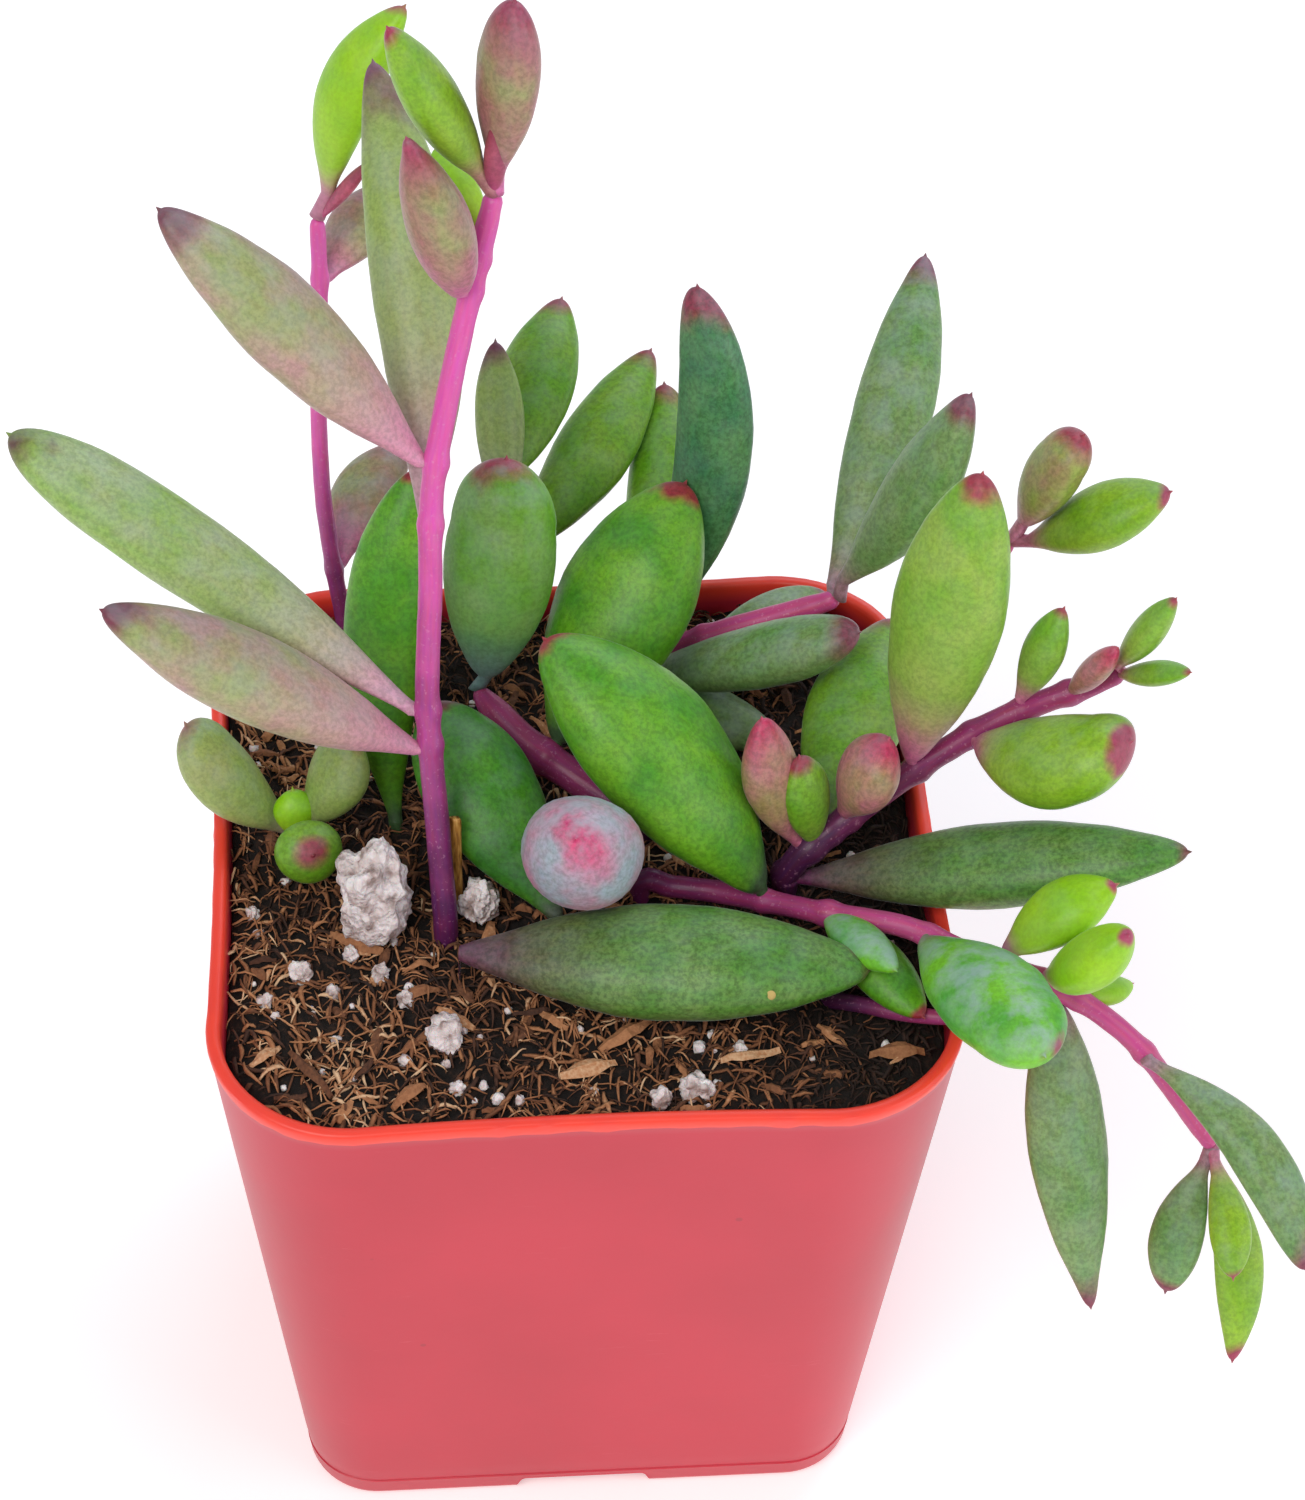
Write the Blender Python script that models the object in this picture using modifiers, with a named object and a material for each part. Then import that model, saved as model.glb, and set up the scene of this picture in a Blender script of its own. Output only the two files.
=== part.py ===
"""A trailing succulent with plump spindle leaves, growing in a small square nursery pot.

The pot stands with the middle of its underside on the origin and +Z up. The plant's places are given
from the pot's axis and from the soil's level, in millimetres, and grow with the pot's width.
"""

import math
from collections import namedtuple

import bmesh
import bpy
from mathutils import Vector

MM = 0.001

# The pot: a tapered square shell of moulded plastic.
POT_WIDTH = 63.5 * MM
POT_HEIGHT = 63.5 * MM
FOOT_WIDTH = 51.6 * MM
WALL = 1.1 * MM
RIM_CORNER = 12.0 * MM
FOOT_CORNER = 6.5 * MM
SIDE_DRAW_IN = 0.5 * MM
FOOT_ROUNDING = 1.0 * MM
CORNER_STEPS = 4
SIDE_STEPS = 4

# The vents: one low arch under the middle of each side, with a drain hole in its roof.
VENT_FOOT_WIDTH = 14.5 * MM
VENT_TOP_WIDTH = 11.5 * MM
VENT_HEIGHT = 2.0 * MM
VENT_DEPTH = 5.0 * MM
DRAIN_HOLE = 3.0 * MM

# The soil.
GAP = 0.3 * MM
SOIL_BELOW_RIM = 2.5 * MM
SOIL_RIPPLE = 0.45 * MM
SOIL_FALL = 0.5 * MM
SOIL_RINGS = 5
ROOT_DEPTH = 8.0 * MM
COLLAR = 1.2 * MM
ROOT_PLAY = 0.5 * MM

# The plant.
LEAF_PLUMPNESS = 0.72
LEAF_SIDES = 8
LEAF_RINGS = 9
PLANT_SPREAD = POT_WIDTH / (63.5 * MM)

SOIL_LEVEL = POT_HEIGHT - SOIL_BELOW_RIM

Stem = namedtuple("Stem", "name diameter points colour")
Leaf = namedtuple("Leaf", "name stem at heading pitch length width form bend colour")
GroundLeaf = namedtuple("GroundLeaf", "name foot heading pitch length width form bend colour")

MAGENTA = (0.46, 0.06, 0.24)
PURPLE = (0.20, 0.04, 0.12)
BRIGHT_GREEN = (0.18, 0.40, 0.05)
GREY_GREEN = (0.20, 0.30, 0.16)
BLUE_GREEN = (0.08, 0.20, 0.14)
ROSE = (0.42, 0.24, 0.26)

# A form is where the leaf is widest, then how fast it narrows to its base and to its tip.
FORMS = {
    "spindle": (0.53, 0.80, 0.62),
    "club": (0.62, 0.85, 0.50),
    "paddle": (0.55, 0.70, 0.60),
    "egg": (0.55, 0.60, 0.50),
    "lance": (0.42, 0.60, 0.80),
}

# Each stem's points run from the soil to its tip: right, back and up, in millimetres.
STEMS = [
    Stem("tall_stem", 2.0, [(-11.5, -9, 0), (-12, -5, 11), (-12.5, -1, 21), (-12, 3, 30),
                            (-11.5, 7, 38.5), (-9, 12, 49.5), (-6, 16, 61)], MAGENTA),
    Stem("slender_stem", 1.5, [(-19.5, 27, 0), (-21, 30, 15), (-21, 33, 27), (-20.5, 35, 35.5),
                               (-20.5, 37, 42)], MAGENTA),
    Stem("thick_stem", 3.0, [(6, 3, 0), (1, 6, 3), (-4.5, 10, 5), (-8, 14, 7)], PURPLE),
    Stem("rear_stem", 2.2, [(2.5, 19, 0), (7, 20.5, 3), (14, 20, 7), (21, 19.5, 10),
                            (24.5, 19, 12)], MAGENTA),
    Stem("crown_stem", 2.0, [(-3.5, 26.5, 0), (-4, 26, 11), (-5.5, 28, 16.5)], PURPLE),
    Stem("right_stem", 2.2, [(18, -4.5, 0), (19.5, -4.5, 4.5), (28.5, -0.5, 9.5), (36.5, 2, 13.5),
                             (43.5, 3, 16), (47, 3, 18)], PURPLE),
    Stem("side_stem", 2.0, [(26, 19, 0), (33.5, 18, 7), (37, 19, 14), (39.5, 19.5, 18)], MAGENTA),
    Stem("trailing_stem", 1.9, [(5.5, -4.5, 0), (12, -6, 1.5), (21, -11.5, 4.5), (27, -14.5, 6),
                                (32.5, -17.5, 5.5), (38, -20, 5), (43, -22, 2.5), (47.5, -23.5, -2),
                                (53.5, -26, -11)], MAGENTA),
    Stem("offset_stem", 1.5, [(-24, 2, 0), (-24, 1, 3)], PURPLE),
]
STRAW = Stem("straw", 0.9, [(-10.5, -5.5, 0), (-10.5, -4.5, 10.5)], (0.50, 0.30, 0.08))

# Each leaf: how far up its stem it grows, where it points, its length and width, its form, and how far
# its middle bends up and sideways as a share of its length.
LEAVES = [
    Leaf("tall_leaf_1", "tall_stem", 17.8, -178, 36.5, 32, 8.7, "spindle", (0, 0), ROSE),
    Leaf("tall_leaf_2", "tall_stem", 21, 156, 28.5, 41.5, 7.9, "club", (0, 0.01), GREY_GREEN),
    Leaf("tall_leaf_3", "tall_stem", 42.5, 159, 44, 31, 8.5, "spindle", (0.01, 0.01), ROSE),
    Leaf("tall_leaf_4", "tall_stem", 35.5, 96, 40, 41, 7.6, "spindle", (0, 0.04), GREY_GREEN),
    Leaf("tall_leaf_5", "tall_stem", 56.5, 199, 76, 19, 7.2, "lance", (0.02, 0), ROSE),
    Leaf("tall_leaf_6", "tall_stem", 66.5, 181, 64, 18, 6, "spindle", (0, 0), BRIGHT_GREEN),
    Leaf("tall_leaf_7", "tall_stem", 68, 30, 84, 17.5, 6.2, "club", (0, 0), ROSE),
    Leaf("slender_leaf_1", "slender_stem", 43, 27, 65, 21, 6.3, "spindle", (0.07, -0.06), BRIGHT_GREEN),
    Leaf("slender_leaf_2", "slender_stem", 37, 57, 11, 13, 5.5, "spindle", (0.02, -0.03), ROSE),
    Leaf("slender_leaf_3", "slender_stem", 8, 62, 16, 15, 6, "spindle", (0.03, -0.07), ROSE),
    Leaf("thick_leaf_1", "thick_stem", 19, 74, 67, 22.5, 10.0, "egg", (0, 0.01), BLUE_GREEN),
    Leaf("thick_leaf_2", "thick_stem", 11, 50.5, 42.5, 27, 12.4, "paddle", (0, -0.01), BRIGHT_GREEN),
    Leaf("rear_leaf_1", "rear_stem", 4.5, 59, 70.5, 38, 7.1, "club", (-0.04, 0.11), BLUE_GREEN),
    Leaf("rear_leaf_2", "rear_stem", 9, 87, 26, 26, 8, "spindle", (0, 0.02), BRIGHT_GREEN),
    Leaf("rear_leaf_3", "rear_stem", 25, 13, 62, 24.5, 7.4, "spindle", (-0.03, 0.03), BLUE_GREEN),
    Leaf("rear_leaf_4", "rear_stem", 3, -22, 31, 26.5, 7.0, "club", (-0.02, 0.0), GREY_GREEN),
    Leaf("rear_leaf_5", "rear_stem", 11.5, 26, -3, 14.5, 4.7, "club", (0, 0), BLUE_GREEN),
    Leaf("rear_leaf_6", "rear_stem", 25, 69, 28, 34, 7.2, "spindle", (0, 0.03), GREY_GREEN),
    Leaf("crown_leaf_1", "crown_stem", 10.5, 56, 18, 25, 7.3, "spindle", (0, 0.02), BRIGHT_GREEN),
    Leaf("crown_leaf_2", "crown_stem", 17, 71, 19, 21.5, 7.3, "spindle", (0, 0), BRIGHT_GREEN),
    Leaf("right_leaf_1", "right_stem", 16, 54, 74, 30, 9.9, "paddle", (0, 0), BRIGHT_GREEN),
    Leaf("right_leaf_2", "right_stem", 21, -30, 27, 17, 9.6, "egg", (-0.09, 0.05), BRIGHT_GREEN),
    Leaf("right_leaf_3", "right_stem", 26.5, 26, 70, 11.5, 4.1, "paddle", (0, 0), GREY_GREEN),
    Leaf("right_leaf_4", "right_stem", 35, -22, 67, 12, 3.9, "spindle", (0, 0), BRIGHT_GREEN),
    Leaf("right_leaf_5", "right_stem", 4.5, 138, 70, 14.6, 5.8, "paddle", (-0.03, -0.03), ROSE),
    Leaf("right_leaf_6", "right_stem", 8, 15, 66, 11, 6.6, "paddle", (0, 0), ROSE),
    Leaf("right_leaf_7", "right_stem", 6.5, 69, 8, 25, 9.0, "spindle", (0, -0.02), BLUE_GREEN),
    Leaf("right_leaf_8", "right_stem", 1, -15, 19, 35.5, 8.4, "spindle", (0, 0), BLUE_GREEN),
    Leaf("side_leaf_1", "side_stem", 22.5, 0, 67, 14, 6.3, "egg", (0.03, -0.02), ROSE),
    Leaf("side_leaf_2", "side_stem", 22, -17, 37, 17, 7, "spindle", (0, 0), BRIGHT_GREEN),
    Leaf("trailing_leaf_1", "trailing_stem", 13.3, 143, 38, 30, 12.8, "paddle", (0.02, 0.03), BRIGHT_GREEN),
    Leaf("trailing_leaf_2", "trailing_stem", 26.5, -66, 15, 20.5, 9.2, "paddle", (0, -0.03), BLUE_GREEN),
    Leaf("trailing_leaf_3", "trailing_stem", 33.5, 9, 36, 12.5, 5.9, "paddle", (0.03, -0.03), BRIGHT_GREEN),
    Leaf("trailing_leaf_4", "trailing_stem", 38, -42, 57, 13, 6.6, "paddle", (-0.03, 0.02), BRIGHT_GREEN),
    Leaf("trailing_leaf_5", "trailing_stem", 39, -76, -58, 29.5, 7, "lance", (0, 0.01), BLUE_GREEN),
    Leaf("trailing_leaf_6", "trailing_stem", 48, -54, -22, 23.5, 5.2, "club", (0.06, -0.10), BLUE_GREEN),
    Leaf("trailing_leaf_7", "trailing_stem", 61.5, -118, -57, 14, 4.7, "club", (0, 0.04), BLUE_GREEN),
    Leaf("trailing_leaf_8", "trailing_stem", 62, -87, -22, 11.5, 3.6, "club", (0, -0.04), BRIGHT_GREEN),
    Leaf("trailing_leaf_9", "trailing_stem", 62, -80, -54, 19.5, 4.4, "spindle", (0.02, -0.07), BRIGHT_GREEN),
    Leaf("offset_leaf_1", "offset_stem", 1.5, 153, 44, 14.3, 6.6, "club", (-0.04, -0.05), BLUE_GREEN),
    Leaf("offset_leaf_2", "offset_stem", 2, 33, 57, 11, 6.1, "club", (-0.04, 0.04), GREY_GREEN),
    Leaf("offset_leaf_3", "offset_stem", 1, -77, 37, 7.5, 5.9, "egg", (0, 0), BRIGHT_GREEN),
]
# Leaves of the crown, which rise from the soil where no stem shows.
GROUND_LEAVES = [
    GroundLeaf("ground_leaf_1", (-15.5, 4, 1), 79, 63, 32, 7.4, "club", (0, -0.06), BRIGHT_GREEN),
    GroundLeaf("ground_leaf_2", (-2, -8.5, 2), 122, 27, 21.5, 9.9, "club", (0, 0), BLUE_GREEN),
    GroundLeaf("ground_leaf_3", (-10.5, -13.5, 3.5), -9, 4, 34.5, 11, "spindle", (0, 0), BLUE_GREEN),
    GroundLeaf("ground_leaf_4", (1, -5.0, 5), -102, 55, 15, 10.3, "egg", (0, 0), BLUE_GREEN),
]
GRAINS = [
    ("perlite_large", -17.5, -7.5, (6.2, 6.0, 8.8)),
    ("perlite_small", -8.5, -6.5, (3.2, 3.0, 4.0)),
]


def clear_scene():
    """Empty the startup scene."""
    for found in list(bpy.data.objects):
        bpy.data.objects.remove(found, do_unlink=True)


def new_collection(name, hidden=False):
    """A collection linked to the scene, hidden from renders when it only holds cutters."""
    made = bpy.data.collections.new(name)
    bpy.context.scene.collection.children.link(made)
    made.hide_render = hidden
    return made


def plain_material(name, colour, roughness):
    """A non-metallic surface of one colour."""
    made = bpy.data.materials.new(name)
    made.use_nodes = True
    shader = made.node_tree.nodes["Principled BSDF"]
    shader.inputs["Base Color"].default_value = (*colour, 1.0)
    shader.inputs["Roughness"].default_value = roughness
    shader.inputs["Metallic"].default_value = 0.0
    made.diffuse_color = (*colour, 1.0)
    return made


def finish_object(made, collection, material, smooth=True):
    """Put an object in its collection, with its material and its shading."""
    collection.objects.link(made)
    made.data.materials.append(material)
    if made.type == "MESH" and smooth:
        made.data.shade_smooth()
        made.data.set_sharp_from_angle(angle=math.radians(40))
    return made


def mesh_object(name, work):
    """The bmesh, faces turned outward, as a new object."""
    work.normal_update()
    bmesh.ops.recalc_face_normals(work, faces=work.faces)
    mesh = bpy.data.meshes.new(name)
    work.to_mesh(mesh)
    work.free()
    return bpy.data.objects.new(name, mesh)


def add_cutter(cutter, collection):
    """A shape that only cuts or joins others."""
    collection.objects.link(cutter)
    cutter.hide_render = True
    cutter.display_type = "WIRE"
    return cutter


def boolean(target, cutter, operation):
    modifier = target.modifiers.new(cutter.name, "BOOLEAN")
    modifier.operation = operation
    modifier.object = cutter
    modifier.solver = "EXACT"


# ---------------------------------------------------------------- pot and soil


def rounded_square(half, corner, z, draw_in=0.0):
    """Points around a level square with round corners, its sides pulled in at their middles."""
    straight = half - corner
    points = []
    for quarter in range(4):
        turn = quarter * math.pi / 2
        local = []
        for step in range(1, SIDE_STEPS):
            share = -1 + 2 * step / SIDE_STEPS
            local.append((half - draw_in * (1 - share * share), straight * share))
        for step in range(CORNER_STEPS + 1):
            angle = step / CORNER_STEPS * math.pi / 2
            local.append((straight + corner * math.cos(angle), straight + corner * math.sin(angle)))
        for x, y in local:
            points.append(Vector((x * math.cos(turn) - y * math.sin(turn),
                                  x * math.sin(turn) + y * math.cos(turn), z)))
    return points


def loft(work, rings, close_start=True, close_end=True):
    """Quads from each ring of points to the next, with the end rings capped."""
    loops = [[work.verts.new(point) for point in ring] for ring in rings]
    for lower, upper in zip(loops, loops[1:]):
        count = len(lower)
        for i in range(count):
            j = (i + 1) % count
            work.faces.new((lower[i], lower[j], upper[j], upper[i]))
    if close_start:
        work.faces.new(loops[0])
    if close_end:
        work.faces.new(loops[-1])


def taper(foot_value, rim_value, z):
    """A value that runs evenly from the pot's foot to its rim."""
    return foot_value + (rim_value - foot_value) * z / POT_HEIGHT


def pot_ring(z, inset):
    """The pot's outline at a height, moved inward."""
    half = taper(FOOT_WIDTH / 2, POT_WIDTH / 2, z) - inset
    corner = taper(FOOT_CORNER, RIM_CORNER, z) - inset
    return rounded_square(half, corner, z, taper(0.0, SIDE_DRAW_IN, z))


def turned(point, quarter):
    """A point of the +Y side, turned to one of the four sides."""
    angle = quarter * math.pi / 2
    return Vector((point.x * math.cos(angle) - point.y * math.sin(angle),
                   point.x * math.sin(angle) + point.y * math.cos(angle), point.z))


def four_wedges(name, foot_width, top_width, low, high, inner, outer_low, outer_high):
    """One block under the middle of each side: as wide and as far out as given at its foot and top."""
    work = bmesh.new()
    for quarter in range(4):
        for vert in bmesh.ops.create_cube(work, size=1.0)["verts"]:
            top = vert.co.z > 0
            width = top_width if top else foot_width
            outer = outer_high if top else outer_low
            place = Vector((math.copysign(width / 2, vert.co.x),
                            outer if vert.co.y > 0 else inner,
                            high if top else low))
            vert.co = turned(place, quarter)
    return mesh_object(name, work)


def drain_cutters(reach):
    """One upright drill through each vent's roof."""
    work = bmesh.new()
    for quarter in range(4):
        drill = bmesh.ops.create_cone(work, cap_ends=True, segments=12, radius1=DRAIN_HOLE / 2,
                                      radius2=DRAIN_HOLE / 2, depth=2 * VENT_HEIGHT)["verts"]
        for vert in drill:
            vert.co = turned(vert.co + Vector((0, reach, VENT_HEIGHT + WALL)), quarter)
    return mesh_object("drain_holes", work)


def make_pot(collection, cutters, material):
    """The tapered shell, its four roofed vents and their drain holes."""
    work = bmesh.new()
    levels = [(0.0, FOOT_ROUNDING), (0.3 * FOOT_ROUNDING, 0.3 * FOOT_ROUNDING), (FOOT_ROUNDING, 0.0),
              (POT_HEIGHT / 2, 0.0), (POT_HEIGHT, 0.0)]
    loft(work, [pot_ring(z, inset) for z, inset in levels], close_end=False)
    pot = mesh_object("pot", work)
    shell = pot.modifiers.new("shell", "SOLIDIFY")
    shell.thickness = WALL
    shell.offset = -1.0
    shell.use_even_offset = True
    roof = VENT_HEIGHT + WALL
    foot = FOOT_WIDTH / 2
    wall_middle = taper(foot, POT_WIDTH / 2, roof) - WALL / 2
    inner = foot - VENT_DEPTH
    bosses = four_wedges("vent_bosses", VENT_FOOT_WIDTH + 2 * WALL, VENT_TOP_WIDTH + 2 * WALL,
                         WALL / 2, roof, inner - WALL, foot - WALL / 2, wall_middle)
    notches = four_wedges("vent_notches", VENT_FOOT_WIDTH, VENT_TOP_WIDTH, -VENT_HEIGHT, VENT_HEIGHT,
                          inner, foot + WALL, foot + WALL)
    holes = drain_cutters(foot - VENT_DEPTH / 2 - WALL / 2)
    boolean(pot, add_cutter(bosses, cutters), "UNION")
    boolean(pot, add_cutter(notches, cutters), "DIFFERENCE")
    boolean(pot, add_cutter(holes, cutters), "DIFFERENCE")
    return finish_object(pot, collection, material)


def soil_height(x, y):
    """The soil's surface: low ripples, a little lower at the front right."""
    ripple = math.sin(x / (2.9 * MM)) * math.cos(y / (3.4 * MM)) + 0.6 * math.sin((x + y) / (5.3 * MM))
    return SOIL_LEVEL + SOIL_RIPPLE * (0.6 * ripple - 0.5) - SOIL_FALL * (x - y) / POT_WIDTH


def soil_ring(z, share=1.0):
    """The outline that the soil fills at a height inside the pot, or a share of it."""
    inset = WALL + GAP
    half = taper(FOOT_WIDTH / 2, POT_WIDTH / 2, z) - inset - taper(0.0, SIDE_DRAW_IN, z)
    corner = taper(FOOT_CORNER, RIM_CORNER, z) - inset
    return [Vector((p.x * share, p.y * share, p.z)) for p in rounded_square(half, corner, z)]


def socket_cutters(stems):
    """An upright drill for each buried stem end."""
    work = bmesh.new()
    for stem in stems:
        foot = stem_points(stem)[0]
        radius = stem.diameter * MM / 2 + ROOT_PLAY
        top = SOIL_LEVEL + SOIL_BELOW_RIM
        bottom = SOIL_LEVEL - ROOT_DEPTH - ROOT_PLAY
        drill = bmesh.ops.create_cone(work, cap_ends=True, segments=10, radius1=radius,
                                      radius2=radius, depth=top - bottom)["verts"]
        for vert in drill:
            vert.co += Vector((foot.x, foot.y, (top + bottom) / 2))
    return mesh_object("root_sockets", work)


def make_soil(collection, cutters, material, stems):
    """The filling, from the vents' roofs up to its rippled surface, with a socket for each root."""
    floor = VENT_HEIGHT + WALL + GAP
    rings = [soil_ring(floor), soil_ring(SOIL_LEVEL - SOIL_BELOW_RIM)]
    for step in range(SOIL_RINGS):
        ring = soil_ring(SOIL_LEVEL, 1 - step / SOIL_RINGS)
        rings.append([Vector((p.x, p.y, soil_height(p.x, p.y))) for p in ring])
    work = bmesh.new()
    loft(work, rings)
    bmesh.ops.triangulate(work, faces=work.faces)
    soil = mesh_object("soil", work)
    boolean(soil, add_cutter(socket_cutters(stems), cutters), "DIFFERENCE")
    return finish_object(soil, collection, material, smooth=False)


# ---------------------------------------------------------------- stems and leaves


def plant_point(x, y, up):
    """A place in the plant, from millimetres off the pot's axis and above the soil's level."""
    return Vector((x * PLANT_SPREAD * MM, y * PLANT_SPREAD * MM, SOIL_LEVEL + up * PLANT_SPREAD * MM))


def stem_points(stem):
    """The stem's centre line: its buried end, a short upright collar, then its own points."""
    places = [plant_point(*point) for point in stem.points]
    foot = places[0]
    buried = Vector((foot.x, foot.y, SOIL_LEVEL - ROOT_DEPTH))
    collar = Vector((foot.x, foot.y, SOIL_LEVEL + COLLAR))
    return [buried, collar] + places[1:]


def smooth_path(points, steps):
    """Points along a curve that passes through the given ones."""
    ends = [points[0]] + points + [points[-1]]
    path = []
    for a, b, c, d in zip(ends, ends[1:], ends[2:], ends[3:]):
        for step in range(steps):
            t = step / steps
            path.append(0.5 * (2 * b + (c - a) * t + (2 * a - 5 * b + 4 * c - d) * t * t
                               + (3 * b - 3 * c + d - a) * t ** 3))
    return path + [points[-1]]


def stem_path(stem):
    """The stem's centre line, rounded where it bends above its collar."""
    points = stem_points(stem)
    return [points[0]] + smooth_path(points[1:], 2)


def make_stem(stem, collection, material):
    """A tube along the stem's centre line."""
    path = stem_path(stem)
    curve = bpy.data.curves.new(stem.name, "CURVE")
    curve.dimensions = "3D"
    curve.bevel_depth = stem.diameter * MM / 2
    curve.bevel_resolution = 2
    curve.use_fill_caps = True
    spline = curve.splines.new("POLY")
    spline.points.add(len(path) - 1)
    for target, point in zip(spline.points, path):
        target.co = (*point, 1.0)
    spline.use_smooth = True
    return finish_object(bpy.data.objects.new(stem.name, curve), collection, material)


def point_along(path, distance):
    """The point this far up the path from the soil, and the path's direction there."""
    left = max(distance - COLLAR, 0.0)
    for start, end in zip(path[1:], path[2:]):
        length = (end - start).length
        if left <= length:
            return start.lerp(end, left / length), (end - start).normalized()
        left -= length
    return path[-1], (path[-1] - path[-2]).normalized()


def pointing(heading, pitch):
    """A unit vector from a compass-like heading, counted from +X, and a pitch above level."""
    flat = math.cos(math.radians(pitch))
    return Vector((flat * math.cos(math.radians(heading)), flat * math.sin(math.radians(heading)),
                   math.sin(math.radians(pitch))))


def fullness(form, share):
    """The leaf's half width as a share of its widest, at a share of its length."""
    widest, base_power, tip_power = FORMS[form]
    if share < widest:
        return math.sin(math.pi / 2 * share / widest) ** base_power
    return math.cos(math.pi / 2 * (share - widest) / (1 - widest)) ** tip_power


def make_leaf(name, base, tip, width, form, bend, collection, material):
    """A plump leaf from its base to its tip: a globe drawn out along that line."""
    line = tip - base
    along = line.normalized()
    side = along.cross(Vector((0, 0, 1))).normalized()
    up = side.cross(along)
    work = bmesh.new()
    bmesh.ops.create_uvsphere(work, u_segments=LEAF_SIDES, v_segments=LEAF_RINGS, radius=1.0)
    for vert in work.verts:
        share = math.acos(max(-1.0, min(1.0, -vert.co.z))) / math.pi
        turn = math.atan2(vert.co.y, vert.co.x)
        reach = fullness(form, share) if math.hypot(vert.co.x, vert.co.y) > 1e-4 else 0.0
        bow = (up * bend[0] + side * bend[1]) * line.length * 4 * share * (1 - share)
        centre = base + line * share + bow
        vert.co = (centre + side * (reach * width / 2 * math.cos(turn))
                   + up * (reach * width / 2 * LEAF_PLUMPNESS * math.sin(turn)))
    return finish_object(mesh_object(name, work), collection, material)


def make_stem_leaf(leaf, stem, collection, material):
    """A leaf whose base stands just clear of its stem."""
    path = stem_path(stem)
    point, grain = point_along(path, leaf.at * PLANT_SPREAD * MM)
    direction = pointing(leaf.heading, leaf.pitch)
    clear = stem.diameter * MM / 2 + GAP
    if (point - path[-1]).length > 1e-6:
        clear /= max(direction.cross(grain).length, 0.4)
    base = point + direction * clear
    tip = point + direction * leaf.length * PLANT_SPREAD * MM
    width = leaf.width * PLANT_SPREAD * MM
    make_leaf(leaf.name, base, tip, width, leaf.form, leaf.bend, collection, material)


def make_ground_leaf(leaf, collection, material):
    """A leaf that rises from the crown at the soil."""
    base = plant_point(*leaf.foot)
    tip = base + pointing(leaf.heading, leaf.pitch) * leaf.length * PLANT_SPREAD * MM
    width = leaf.width * PLANT_SPREAD * MM
    make_leaf(leaf.name, base, tip, width, leaf.form, leaf.bend, collection, material)


def make_grain(name, x, y, sides, collection, material):
    """A crumb of expanded volcanic glass: a lumpy ball that rests on the soil."""
    work = bmesh.new()
    bmesh.ops.create_icosphere(work, subdivisions=2, radius=1.0)
    for vert in work.verts:
        n = vert.co.copy()
        lump = 1 + 0.10 * math.sin(5 * n.x + 3 * n.z) + 0.08 * math.cos(7 * n.y - 2 * n.z)
        vert.co = Vector((n.x * sides[0], n.y * sides[1], n.z * sides[2])) * (lump * 0.5 * MM)
    lowest = min(vert.co.z for vert in work.verts)
    centre = plant_point(x, y, 0)
    rest = max(soil_height(centre.x + dx * MM, centre.y + dy * MM) for dx in (-2, 0, 2) for dy in (-2, 0, 2))
    centre.z = rest + GAP - lowest
    for vert in work.verts:
        vert.co += centre
    return finish_object(mesh_object(name, work), collection, material, smooth=False)


def main():
    clear_scene()
    parts = new_collection("potted_succulent")
    cutters = new_collection("cutters", hidden=True)
    make_pot(parts, cutters, plain_material("coral_plastic", (0.55, 0.07, 0.09), 0.35))
    make_soil(parts, cutters, plain_material("peat", (0.05, 0.03, 0.02), 0.95), STEMS + [STRAW])
    perlite = plain_material("perlite", (0.80, 0.78, 0.75), 0.9)
    for name, x, y, sides in GRAINS:
        make_grain(name, x, y, sides, parts, perlite)
    for stem in STEMS + [STRAW]:
        make_stem(stem, parts, plain_material(stem.name, stem.colour, 0.4))
    by_name = {stem.name: stem for stem in STEMS}
    for leaf in LEAVES:
        make_stem_leaf(leaf, by_name[leaf.stem], parts, plain_material(leaf.name, leaf.colour, 0.35))
    for leaf in GROUND_LEAVES:
        make_ground_leaf(leaf, parts, plain_material(leaf.name, leaf.colour, 0.35))
    print(len(parts.objects), "pieces")


main()
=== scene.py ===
# %% [markdown]
# # A trailing succulent in a square nursery pot
# The plant is a cutting a few months old in a thin moulded pot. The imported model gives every
# leaf, stem and crumb its place and size as a closed solid. Here each of them gets the form and
# the finish of the real thing, in the same frame and at the same size.

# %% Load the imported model
import math
import random

import bmesh
import bpy
import numpy as np
from mathutils import Matrix, Vector, noise


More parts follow.
